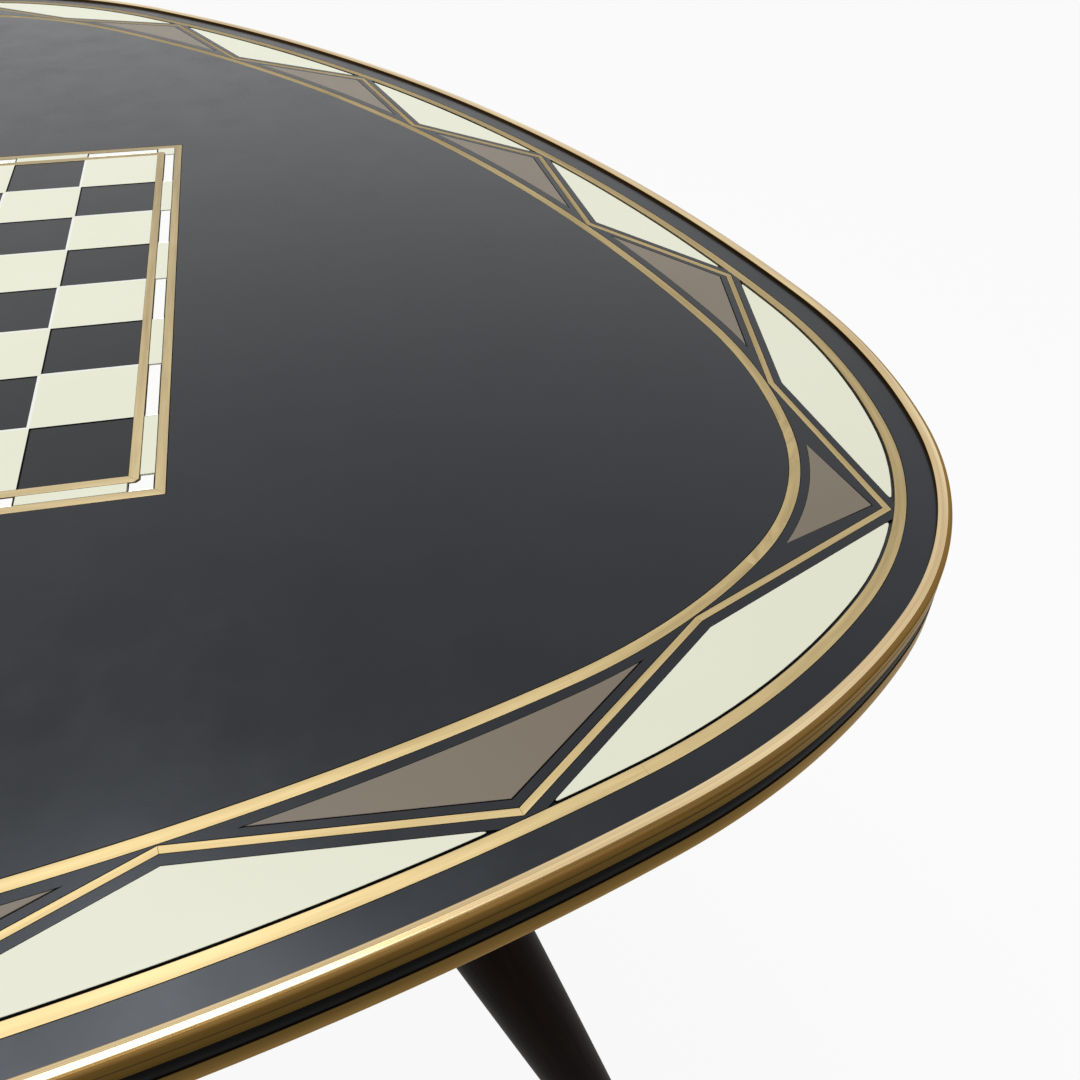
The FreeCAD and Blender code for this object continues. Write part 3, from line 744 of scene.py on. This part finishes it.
def cream_tile(at_side, at_end):
    """A cream square whose left and far sides slope, where black squares lie beside them."""
    half = SQUARE / 2
    left, far = (half - 0.1 if at_frame else half + LIGHT_LINE for at_frame in (at_side, at_end))
    bottom = TOP_Z - BLACK_SINK - BLACK_DEPTH - 0.05
    tile = draw("cream_tile", [(-left, -half, bottom), (half, -half, bottom), (half, far, bottom),
                               (-left, far, bottom)], face=True)
    for rise in (TOP_Z - LIGHT_DROP - bottom, LIGHT_DROP):
        bpy.ops.mesh.extrude_region_move(TRANSFORM_OT_translate={"value": (0, 0, rise * MM)})
    for axis, at_frame, side, inwards in ((0, at_side, -left * MM, (LIGHT_LINE * MM, 0, 0)),
                                          (1, at_end, far * MM, (0, -LIGHT_LINE * MM, 0))):
        if not at_frame:
            select(tile, "VERT", lambda v: (abs(v.co.z - TOP_Z * MM) < 1e-6
                                            and abs(v.co[axis] - side) < 1e-6))
            bpy.ops.transform.translate(value=inwards)
    close_up(tile, smooth=0)
    # The sloped edges get the paler laminate, which is painted highlight; the upright sides get the dark
    # core.
    for material in (cream_laminate, painted_highlight_edge, kraft_core):
        tile.data.materials.append(material)
    for face in tile.data.polygons:
        face.material_index = 2 if face.normal.z < 0.5 else 1 if face.normal.z < 0.99999 else 0
    return tile


def in_cells(name, make, parity):
    """One tile in every second cell. There are four kinds, as some stand beside the frame."""
    kinds, pieces = {}, []
    for column, row in [(c, r) for c in range(8) for r in range(8) if (c + r) % 2 == parity]:
        kind = (column == 7, row == 0) if parity else (column == 0, row == 7)
        if kind not in kinds:
            kinds[kind] = make(*kind)
        middle = BOARD + Vector((column - 3.5, row - 3.5)) * SQUARE
        pieces.append(copied(kinds[kind], shift=middle))
    for original in kinds.values():
        bpy.data.objects.remove(original)
    return joined(name, pieces)


tile_laminate = laminate("black_square_laminate", "#0F1012", "#17181A", 0.3, smudge=0.03, ior=1.37)
hang(in_cells("black_squares", black_tile, 1), ["board_black_squares"], [tile_laminate])

# %% Cream sheet
sheet = prism("cream_sheet", box_plan(BOARD, HALF_BOARD - 0.1), TOP_Z - BLACK_SINK - BLACK_DEPTH,
              BOARD_DEPTH - BLACK_SINK - BLACK_DEPTH)
# The sheet under the cream tiles gets the black laminate, painted shade for the gaps round the black
# squares.
sheet.data.materials.append(tile_laminate)
field = joined("cream_field", [in_cells("cream_squares", cream_tile, 0), sheet])
hang(field, ["board_cream_sheet"])

# %% [markdown]
# ## Frames round the board
#
# Two brass frames, each of four mitred strips, hold a row of small plates between them: cream
# beside the black squares and mirror beside the cream ones. The inner frame's corners are cut
# off, and an L-shaped plate lies round each.

# %% Frame strips
def frame_strips(name, outside, inside, cut_off=0.0):
    """Four strips mitred at the corners; the near one is drawn and the rest are copies."""
    gap = 0.03                   # half of the joint at each mitre
    outside, inside = outside - GROOVE_SLACK, inside + GROOVE_SLACK
    run = outside - cut_off
    plan = [(-run + gap, -outside), (run - gap, -outside)]
    if cut_off:
        plan += [(outside - gap - cut_off / 2, -outside + cut_off / 2)]
    plan += [(inside - gap, -inside), (-inside + gap, -inside)]
    if cut_off:
        plan += [(-outside + gap + cut_off / 2, -outside + cut_off / 2)]
    strip = prism(name, [BOARD + Vector(point) for point in plan], TOP_Z, BOARD_DEPTH, bevel=0.06)
    map_straight(strip, (1, 0))
    return joined(name, [strip] + [copied(strip, turn=turn, about=BOARD) for turn in (90, 180, 270)])


FRAME, PATTERN, CUT_OFF = 3.2, 4.7, 1.4
inner_half, outer_half = HALF_BOARD + FRAME, HALF_BOARD + 2 * FRAME + PATTERN
pattern_half = inner_half + PATTERN
hang(frame_strips("inner_frame_strips", inner_half, HALF_BOARD, CUT_OFF), ["board_inner_frame"],
     [frame_brass])
hang(frame_strips("outer_frame_strips", outer_half, pattern_half), ["board_outer_frame"],
     [frame_brass])

# %% [markdown]
# The mirror plates are thin polished steel set below the brass, so each is a small bright
# window with a dark line round it. Polished steel reflects nearly all of the light, and only
# a trace of haze keeps it from looking like a hole.

# %% Material: mirror plate
mirror_steel, tree, shader = new_material("polished_mirror_plate", Metallic=1.0,
                                          Base_Color=linear("#FBFBF9"), Roughness=0.06)
place = node(tree, "ShaderNodeTexCoord").outputs["Object"]
haze = node(tree, "ShaderNodeTexNoise", {"Vector": place, "Scale": 1 / (9 * MM), "Detail": 3.0})
dress(tree, shader, gloss=(haze, 0.03, 0.1))
print("made", mirror_steel.name)

# %% Pattern plates
def pattern_plates(name, beside_black, margin, top):
    """The row of plates on all four sides, with two corner plates."""
    pieces = []
    thickness = BOARD_DEPTH - (TOP_Z - top)
    for cell in range(2):
        middle = BOARD + Vector(((cell - 3.5) * SQUARE, -(inner_half + pattern_half) / 2))
        plate = prism(name, box_plan(middle, SQUARE / 2 - margin, PATTERN / 2 - margin), top,
                      thickness, bevel=0.1)
        for side in range(4):
            if ((cell + side) % 2 == 1) == beside_black:
                for step in range(4):
                    along = Matrix.Rotation(math.radians(90 * side), 2) @ Vector((step * 2 * SQUARE, 0))
                    pieces.append(copied(plate, shift=along, turn=90 * side, about=BOARD))
        bpy.data.objects.remove(plate)
    a, b, c = HALF_BOARD + margin, pattern_half - margin, inner_half + margin
    lip = CUT_OFF + margin * math.sqrt(2)
    plan = [(a, -b), (b, -b), (b, -a), (c, -a), (c, -c + lip - 2 * margin),
            (c - lip + 2 * margin, -c), (a, -c)]
    corner = prism(name, [BOARD + Vector(point) for point in plan], top, thickness, bevel=0.1)
    turns = (90, 270) if beside_black else (0, 180)
    pieces += [copied(corner, turn=turn, about=BOARD) for turn in turns]
    bpy.data.objects.remove(corner)
    return joined(name, pieces)


hang(pattern_plates("cream_plates", True, 0.2, TOP_Z), ["pattern_cream_plates"],
     [cream_laminate])
hang(pattern_plates("mirror_plates", False, 0.4, TOP_Z - 0.2), ["pattern_mirror_plates"],
     [mirror_steel])

# %% [markdown]
# ## Black top sheet
#
# The sheet itself runs in under the brass edge. A groove or pocket is cut for each inlay, a
# little wider than the inlay, and the black line that is left round each of them is the
# depth of that groove. The wedges stand against the far left of their pockets, so their dark
# line is wider at the near right, and the cream pockets open into the outer brass line's
# groove. All cutters are joined and taken out by one boolean.

# %% Cutting pockets
def cut(obj, cutters):
    """Take the cutters, which may run into each other, out of an object, and delete them."""
    cutter = joined("cutter", cutters)
    bpy.ops.object.select_all(action="DESELECT")
    obj.select_set(True)
    bpy.context.view_layer.objects.active = obj
    saw = obj.modifiers.new("pockets", "BOOLEAN")
    saw.operation, saw.solver, saw.object = "DIFFERENCE", "EXACT", cutter
    saw.use_self = len(cutters) > 4      # four bores stand apart, and many pockets don't
    bpy.ops.object.modifier_apply(modifier=saw.name)
    bpy.data.objects.remove(cutter)
    return obj


print("pockets are", INLAY, "and", BOARD_DEPTH, "mm deep")

# %% Top sheet with its pockets
SLACK, POCKET_SLACK, BOARD_SLACK = 0.16, 0.24, 0.25
PLAY = Vector((0.1, -0.13, 0))           # the pockets, seen from the wedges that lie in them
UNDER_EDGE = 1.3                         # how far the sheet runs out under the brass edge
SHEET = 2.0
edge_points = []
for middle, radius, first, last in ARCS:
    for n in range(24):
        edge_points.append(middle + polar(first + (last - first) * n / 24, radius + UNDER_EDGE))
top_sheet = prism("black_top", edge_points, TOP_Z, SHEET)
cutters = []
for outside, inside in (OUTER_RING, INNER_RING):
    cutters.append(swept_ring("groove", [(inside - SLACK, 1), (outside + SLACK, 1),
                                         (outside + SLACK, -INLAY), (inside - SLACK, -INLAY)]))
wide, narrow = (offset_polygon(zigzag, side * (ZIGZAG_WIDTH / 2 + SLACK)) for side in (1, -1))
band = prism("groove", wide, TOP_Z + 1, 1 + INLAY)
band = cut(band, [prism("hole", narrow, TOP_Z + 2, 3 + INLAY)])
cutters.append(band)
for distance, offset, blunt, shift, first in (
        (CREAM_PLACE[0] - POCKET_SLACK, OUTER_RING[1], CREAM_PLACE[2], PLAY + CREAM_SHIFT, 1),
        (TAUPE_PLACE[0] + POCKET_SLACK, TAUPE_PLACE[1] - POCKET_SLACK, 0, PLAY + TAUPE_SHIFT, 0)):
    for k in range(first, 10, 2):
        plan = wedge_plan(k, distance, offset, blunt)
        cutters += in_thirds(prism("pocket", plan, TOP_Z + 1, 1 + INLAY), shift)
cutters.append(prism("pocket", box_plan(BOARD, outer_half + BOARD_SLACK), TOP_Z + 1, 1 + BOARD_DEPTH))
cut(top_sheet, cutters)
hang(top_sheet, ["black_top_sheet"], [black_laminate])

# %% [markdown]
# ## Brass edge
#
# The edge is a rolled brass channel. Its section has a flat lip on the laminate with a fine
# groove in it, a round nose, a wall with a second groove, a slot for the black insert, and a
# small flange underneath. The section is drawn once and swept round the whole outline.
#
# The lip is polished and lacquered, so a sharp gloss lies over a softer one. The wall gets a
# darker brass, a painted reflection of darker surroundings. A ramp over the height tints the same
# brass: darkest above the slot and lighter towards the nose and towards the flange, which is
# painted shade and painted reflection. The lines that the rolls leave along it are drawn 0.3 to
# 0.4 mm wide, coarser than real, so that they show.

# %% Edge profile
WALL, LIP, BOTTOM, FLANGE = 4.33, 1.69, -16.6, -15.8
SLOT_TOP, SLOT_LOW = -4.8, -10.2
# NOSE is where the lip's brass gives way to the wall's brass with painted reflection.
NOSE = LIP - 0.35                # below this height the wall's finish begins
edge_corners = [
    (0, 0, 0), (0, LIP - 0.55, 0.12), (1.45, LIP, 0.5), (2.8, LIP, 0.12), (2.95, LIP - 0.4, 0.08),
    (3.2, NOSE, 0.1), (WALL, LIP - 0.9, 0.8),
    (WALL, -1.3, 0.06), (WALL - 0.3, -1.55, 0.03), (WALL, -1.8, 0.06),
    (WALL, SLOT_TOP, 0.12), (2.6, SLOT_TOP, 0), (2.6, SLOT_LOW, 0), (WALL, SLOT_LOW, 0.12),
    (WALL, BOTTOM, 1.2), (-1.6, BOTTOM, 0.15), (-1.6, FLANGE, 0.1), (1.4, FLANGE, 0), (1.4, 0, 0)]
edge = swept_ring("edge_channel", rounded(edge_corners, segments=8))
map_along_outline(edge)
print("edge", edge.dimensions[:])

# %% Materials: polished lip, and wall with painted reflection
lip_brass = brushed_brass("polished_edge_brass", "#AE8C56", "#EBD5A4", roughness=0.18, grain=0.3,
                          length=300, bump=0.001, tint="#FFFFFF")
lacquer = lip_brass.node_tree.nodes["Principled BSDF"].inputs
lacquer["Coat Weight"].default_value = 1.0
lacquer["Coat Roughness"].default_value = 0.12
wall_brass_painted_reflection = brushed_brass("edge_wall_painted_reflection", "#B4B4B4", "#FFFFFF", roughness=0.34, grain=0.4,
                           length=300, tint="#FFE8C4")
tree = wall_brass_painted_reflection.node_tree
place = node(tree, "ShaderNodeSeparateXYZ", {0: node(tree, "ShaderNodeTexCoord").outputs["Object"]})
height = node(tree, "ShaderNodeMapRange", {"Value": place.outputs[2], "From Min": (TOP_Z + BOTTOM) * MM,
                                           "From Max": (TOP_Z + LIP) * MM})
painted_reflection_ramp = node(tree, "ShaderNodeValToRGB", {0: height.outputs[0]})
# The ramp's colours are painted shade and painted reflection on the wall, not a real patina.
stops = ((BOTTOM, "#90744A"), (-14.0, "#705834"), (SLOT_LOW, "#584526"), (SLOT_TOP, "#33250F"),
         (-3.0, "#4B381D"), (-1.2, "#4C381E"), (0.2, "#604723"), (LIP - 0.9, "#77592D"),
         (LIP - 0.3, "#9A7944"))
for count, (level, code) in enumerate(stops):
    share = (level - BOTTOM) / (LIP - BOTTOM)
    stop = painted_reflection_ramp.color_ramp.elements[count] if count < 1 else painted_reflection_ramp.color_ramp.elements.new(share)
    stop.position, stop.color = share, linear(code)
painted_reflection_ramp.color_ramp.elements.remove(painted_reflection_ramp.color_ramp.elements[-1])
shader = tree.nodes["Principled BSDF"]
grain = shader.inputs["Base Color"].links[0].from_socket
tone = node(tree, "ShaderNodeMix", {0: 1.0, 6: painted_reflection_ramp.outputs[0], 7: grain}, data_type="RGBA",
            blend_type="MULTIPLY")
tree.links.new(tone.outputs[2], shader.inputs["Base Color"])
hang(edge, ["edge_profile"], [lip_brass, wall_brass_painted_reflection])
# Faces below the nose get the wall brass with its painted reflection.
for face in edge.data.polygons:
    face.material_index = 1 if face.center.z / MM < TOP_Z + NOSE else 0

# %% [markdown]
# ## Black insert
#
# A strip of black vinyl is pressed into the slot. It is extruded with a slightly crowned face,
# and the die leaves faint lines along it, drawn 0.4 mm wide. The strip is matt and lies in the
# shade of the edge, so its IOR is low, which keeps the studio's white off it.

# %% Insert strip
BACK, FACE, CROWN = 2.63, 4.0, 0.2
high, low = SLOT_TOP - 0.1, SLOT_LOW + 0.1
crown = [(FACE + CROWN * math.sin(math.pi * n / 8), high + (low - high) * n / 8) for n in range(9)]
insert = swept_ring("insert_strip", [(BACK, high)] + crown + [(BACK, low)])
map_along_outline(insert)
vinyl, tree, shader = new_material("extruded_black_vinyl", IOR=1.06)
place = node(tree, "ShaderNodeUVMap", uv_map="grain").outputs[0]
fine = node(tree, "ShaderNodeMapping", {"Vector": place, "Scale": (1 / (60 * MM), 1 / (0.4 * MM), 1)})
drawn = node(tree, "ShaderNodeTexNoise", {"Vector": fine.outputs[0], "Scale": 1.0, "Detail": 2.0})
dress(tree, shader, (drawn, "#070605", "#0F0D0C"), (drawn, 0.32, 0.44), (drawn, 0.3, 0.01))
hang(insert, ["edge_insert"], [vinyl])

# %% [markdown]
# ## Legs
#
# A leg is turned from beech and stained nearly black. It has a slight swelling, so its side is
# one long arc. The outline is spun about the leg's own axis in an upright position and then
# tilted into place. Before it is tilted, every vertex stores its upright position in an
# attribute, and the wood grain follows that, so all three legs have grain along them.

# %% Leg frame
TILT = 21.6
SEAT_DROP = 22.0                 # from the underside of the top to the middle of a leg's seat
LEG_OUT, FOOT_GAP, FERRULE = 151.0, 9.0, 40.0
SEAT_OUT = LEG_OUT + SEAT_DROP * math.tan(math.radians(TILT))
LEG_LENGTH = (UNDERSIDE_Z - SEAT_DROP) / math.cos(math.radians(TILT)) - FOOT_GAP
STEP = LEG_LENGTH - FERRULE      # where the wood steps in and the ferrule begins
LEG_NAMES = dict(zip(CORNERS, ("back", "left", "right")))


def leg_place(corner):
    """Matrix from a leg's own frame, where Z runs up its axis, to the table."""
    seat = (CENTRE + polar(corner, SEAT_OUT)).to_3d() + Vector((0, 0, UNDERSIDE_Z - SEAT_DROP))
    return (Matrix.Translation(seat * MM) @ Matrix.Rotation(math.radians(corner), 4, "Z")
            @ Matrix.Rotation(math.radians(-TILT), 4, "Y"))


def at_corner(obj, name, place):
    """A copy of an upright piece, put in its place."""
    copy = copied(obj)
    copy.name = copy.data.name = name
    copy.matrix_world = place
    bpy.ops.object.transform_apply(location=True, rotation=True, scale=True)
    return copy


def on_each_leg(upright, name, cad_node, place, material):
    """Hang a copy of an upright piece at each leg, and delete the original."""
    for corner, side in LEG_NAMES.items():
        hang(at_corner(upright, f"{name}_{side}", place(corner)), [f"{cad_node}_{side}"],
             [material])
    bpy.data.objects.remove(upright)


def arc_through(first, middle, last, steps):
    """Points on the arc through three points."""
    ax, ay, bx, by, cx, cy = *first, *middle, *last
    d = 2 * (ax * (by - cy) + bx * (cy - ay) + cx * (ay - by))
    a, b, c = ax * ax + ay * ay, bx * bx + by * by, cx * cx + cy * cy
    centre = Vector(((a * (by - cy) + b * (cy - ay) + c * (ay - by)) / d,
                     (a * (cx - bx) + b * (ax - cx) + c * (bx - ax)) / d))
    arm, end = Vector(first) - centre, Vector(last) - centre
    sweep = arm.angle_signed(end)
    return [centre + Matrix.Rotation(-sweep * n / steps, 2) @ arm for n in range(steps + 1)]


def turned(name, outline, steps=96, closed=False):
    """A piece turned about Z from (radius, z) points."""
    piece = draw(name, [(radius, 0, z) for radius, z in outline], closed=closed)
    spin((0, 0, 0), 360, steps)
    return close_up(piece)


print("leg length", round(LEG_LENGTH, 2))

# %% [markdown]
# Beech has short, fine flecks and long pores along the trunk. Under a near-black stain the
# pores stay darker and the flecks catch a little red. The satin lacquer over it is smooth,
# so the grain shows more in the colour than in the surface. The flecks are drawn 1.4 mm wide,
# coarser than real, and the IOR is low, because a full gloss would turn near-black wood grey.

# %% Material: stained beech
def stained_wood(name, attribute, stretch):
    """Near-black stained beech; stretch is the size of a fleck along X, Y and Z."""
    material, tree, shader = new_material(name, IOR=1.07)
    place = node(tree, "ShaderNodeAttribute", attribute_name=attribute).outputs["Vector"]
    along = node(tree, "ShaderNodeMapping",
                 {"Vector": place, "Scale": [1 / (size * MM) for size in stretch]})
    pores = node(tree, "ShaderNodeTexNoise",
                 {"Vector": along.outputs[0], "Scale": 1.0, "Detail": 5.0, "Roughness": 0.6})
    rings = node(tree, "ShaderNodeMapping",
                 {"Vector": place, "Scale": [0.15 / (size * MM) for size in stretch]})
    growth = node(tree, "ShaderNodeTexNoise",
                  {"Vector": rings.outputs[0], "Scale": 1.0, "Detail": 2.0, "Distortion": 0.4})
    both = node(tree, "ShaderNodeMath", {0: pores.outputs[0], 1: growth.outputs[0]}, operation="ADD")
    spread = node(tree, "ShaderNodeMapRange",
                  {"Value": both.outputs[0], "From Min": 0.7, "From Max": 1.3})
    dress(tree, shader, (spread, "#070302", "#1B0F08"), (pores, 0.5, 0.36), (pores, 0.3, 0.05))
    return material


def store_place(obj, name="upright"):
    """Keep each vertex's present position in an attribute, for grain that follows the piece."""
    layer = obj.data.attributes.new(name, "FLOAT_VECTOR", "POINT")
    for vertex in obj.data.vertices:
        layer.data[vertex.index].vector = vertex.co
    return obj


leg_wood = stained_wood("dark_stained_beech", "upright", stretch=(1.4, 1.4, 60.0))
print("made", leg_wood.name)

# %% Legs
LEG_TOP, LEG_MIDDLE, LEG_END = 29.8, 21.5, 13.5        # radii
SHOULDER, BOLT = 2.0, 4.05
swell = arc_through((LEG_TOP, -SHOULDER), (LEG_MIDDLE, -320.0), (LEG_END, -STEP), 40)
shoulder = [(LEG_TOP - SHOULDER + SHOULDER * math.sin(t), SHOULDER * math.cos(t) - SHOULDER)
            for t in [math.radians(15 * n) for n in range(6)]]
spigot = [(12.4, -STEP), (10.5, -LEG_LENGTH + 1.0), (0, -LEG_LENGTH + 1.0)]
bolt_bore = [(0, -38.1), (BOLT, -34.1), (BOLT, 0)]
upright = store_place(turned("upright_leg", bolt_bore + shoulder + swell + spigot))
on_each_leg(upright, "turned_leg", "leg", leg_place, leg_wood)

# %% [markdown]
# ## Ferrules and glides
#
# A tapered brass cup covers the end of each leg. It is turned, so fine rings run round it; they
# are drawn 0.3 mm apart, coarser than real, so that they show. A black nylon glide under it is
# cut level with the floor. It is moulded, which gives it an even, slightly matt skin.

# %% Ferrules
CUP_END, CUP_WALL, PIN = 11.5, 0.9, 2.1
cup = rounded([(PIN, -LEG_LENGTH, 0.3), (CUP_END, -LEG_LENGTH, 0.6), (LEG_END, -STEP, 0.25),
               (LEG_END - CUP_WALL, -STEP, 0.2), (CUP_END - CUP_WALL, CUP_WALL - LEG_LENGTH, 0),
               (PIN, CUP_WALL - LEG_LENGTH, 0)], segments=7)
upright = store_place(turned("upright_cup", cup, closed=True))
ferrule_brass, tree, shader = new_material("turned_satin_brass", Metallic=1.0)
place = node(tree, "ShaderNodeAttribute", attribute_name="upright").outputs["Vector"]
lathe = node(tree, "ShaderNodeMapping",
             {"Vector": place, "Scale": (1 / (40 * MM), 1 / (40 * MM), 1 / (0.3 * MM))})
rings = node(tree, "ShaderNodeTexNoise", {"Vector": lathe.outputs[0], "Scale": 1.0, "Detail": 3.0})
dress(tree, shader, (rings, "#C9A76D", "#DDC08A"), (rings, 0.22, 0.34), (rings, 0.25, 0.01))
on_each_leg(upright, "brass_cup", "ferrule", leg_place, ferrule_brass)

# %% Glides
nylon, tree, shader = new_material("moulded_black_nylon", IOR=1.53)
place = node(tree, "ShaderNodeTexCoord").outputs["Object"]
skin = node(tree, "ShaderNodeTexNoise", {"Vector": place, "Scale": 1 / (0.5 * MM), "Detail": 3.0})
dress(tree, shader, (skin, "#1B1B1B", "#262626"), (skin, 0.42, 0.58))
GLIDE, OFF_FLOOR = 7.5, 0.005
foot = [(0, -LEG_LENGTH), (GLIDE, -LEG_LENGTH), (GLIDE, -LEG_LENGTH - 20), (0, -LEG_LENGTH - 20)]
upright = turned("upright_glide", foot)
for corner, side in LEG_NAMES.items():
    glide = at_corner(upright, "nylon_glide_" + side, leg_place(corner))
    bpy.ops.object.mode_set(mode="EDIT")
    bpy.ops.mesh.select_all(action="SELECT")
    bpy.ops.mesh.bisect(plane_co=(0, 0, OFF_FLOOR * MM), plane_no=(0, 0, 1), use_fill=True,
                        clear_inner=True)
    select(glide, "EDGE", lambda edge: all(v.co.z < 0.01 * MM for v in edge.verts))
    bpy.ops.mesh.bevel(offset=0.6 * MM, segments=3, affect="EDGES")
    close_up(glide)
    hang(glide, ["glide_" + side], [nylon])
bpy.data.objects.remove(upright)

# %% [markdown]
# ## Leg blocks and their screws
#
# Under the top each leg meets a wedge-shaped block. Four screws hold it, deep in bores that a
# screwdriver reaches from below. The block is a box with rounded corners, cut off square to
# the leg, with its edges broken.

# %% Leg block
BLOCK_LONG, BLOCK_WIDE, BLOCK_ROUND = 78.0, 70.0, 10.0
HEIGHT = SEAT_DROP + BLOCK_LONG * math.tan(math.radians(TILT))
block_plan = rounded([(x * BLOCK_LONG / 2, y * BLOCK_WIDE / 2, BLOCK_ROUND)
                      for x, y in ((-1, -1), (1, -1), (1, 1), (-1, 1))])
block = prism("block", [(x, y) for x, y in block_plan], 0, HEIGHT)
bpy.ops.object.mode_set(mode="EDIT")
bpy.ops.mesh.select_all(action="SELECT")
slope = math.radians(TILT)
bpy.ops.mesh.bisect(plane_co=(0, 0, -SEAT_DROP * MM), plane_no=(-math.sin(slope), 0, math.cos(slope)),
                    use_fill=True, clear_inner=True)
select(block, "EDGE", lambda edge: len(edge.link_faces) == 2 and edge.calc_face_angle() > 0.8)
bpy.ops.mesh.bevel(offset=0.8 * MM, segments=3, affect="EDGES")
close_up(block)
print("block", block.dimensions[:])

# %% Screw bores in the block
SCREW_SPOTS = [(x, y) for x in (-30, 30) for y in (-26, 26)]
SCREW_HEAD = -8.0                # height of the heads, from the top of the block
bore = turned("bore", [(0, 1), (2.2, 1), (2.2, -5.85), (4.35, SCREW_HEAD), (5, SCREW_HEAD),
                       (5, -HEIGHT - 5), (0, -HEIGHT - 5)], 32)
bores = [copied(bore, shift=(x, y, 0)) for x, y in SCREW_SPOTS]
bpy.data.objects.remove(bore)
block = store_place(cut(block, bores), "block_place")


def block_place(corner):
    """Matrix from a block's own frame to the table."""
    middle = (CENTRE + polar(corner, SEAT_OUT)).to_3d() + Vector((0, 0, UNDERSIDE_Z))
    return Matrix.Translation(middle * MM) @ Matrix.Rotation(math.radians(corner), 4, "Z")


block_wood = stained_wood("dark_stained_beech_block", "block_place", stretch=(60.0, 1.4, 1.4))
on_each_leg(block, "wedge_block", "leg_block", block_place, block_wood)

# %% [markdown]
# The screws are countersunk and driven upwards. Only the head with its cross recess shows, at
# the bottom of each bore. Bright zinc plate has a cool grey shine with a faint bloom on it.

# %% Screws of the blocks
zinc, tree, shader = new_material("bright_zinc_plate", Metallic=1.0)
place = node(tree, "ShaderNodeTexCoord").outputs["Object"]
bloom = node(tree, "ShaderNodeTexNoise", {"Vector": place, "Scale": 1 / (2 * MM), "Detail": 3.0})
dress(tree, shader, (bloom, "#9EA2A6", "#BFC3C6"), (bloom, 0.28, 0.42))
screw = turned("screw", [(0, 0), (3.9, 0), (4.2, 0.25), (4.15, 0.4), (2.1, 2.1), (2.1, 16.4),
                         (0, 18.5)], 32)
arm, slit = 2.2, 0.45            # half the length and half the width of the cross recess
quarter = [(arm, -slit), (arm, slit), (slit, slit)]
cross = [Matrix.Rotation(math.radians(turn), 2) @ Vector(point)
         for turn in (0, 90, 180, 270) for point in quarter]
cut(screw, [prism("recess", cross, 1.6, 3.0)])
screws = []
for corner in CORNERS:
    for x, y in SCREW_SPOTS:
        spot = block_place(corner) @ Matrix.Translation(Vector((x, y, SCREW_HEAD)) * MM)
        screws.append(at_corner(screw, "block_screw", spot))
bpy.data.objects.remove(screw)
hang(joined("countersunk_screws", screws), ["block_screws"], [zinc])

# %% [markdown]
# ## Pieces that stay as they are
#
# The plywood core, the backing laminate and the hidden fixings already have the right shape.
# They only get their finishes. The backing is a plain brown balancing laminate, and the core
# shows the plies of birch plywood if the edge ever comes off.

# %% Finishes for the hidden nodes
def repaint(cad_node, material):
    """Give a CAD node another material."""
    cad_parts[cad_node].material_slots[0].material = material
    print(cad_node, "->", material.name)


plywood, tree, shader = new_material("birch_plywood", Roughness=0.6)
place = node(tree, "ShaderNodeTexCoord").outputs["Object"]
plies = node(tree, "ShaderNodeMapping",
             {"Vector": place, "Scale": (1 / (30 * MM), 1 / (4 * MM), 1 / (1.4 * MM))})
veneer = node(tree, "ShaderNodeTexNoise", {"Vector": plies.outputs[0], "Scale": 1.0, "Detail": 3.0})
dress(tree, shader, (veneer, "#B08A5C", "#D8BC8E"))
backing = laminate("brown_backing_laminate", "#3A2E26", "#453830", 0.55, pebble=0.8, bump=0.04)
repaint("core_board", plywood)
repaint("backing_sheet", backing)
for cad_node in ("edge_screws", "insert_nuts", "hanger_bolts"):
    repaint(cad_node, zinc)
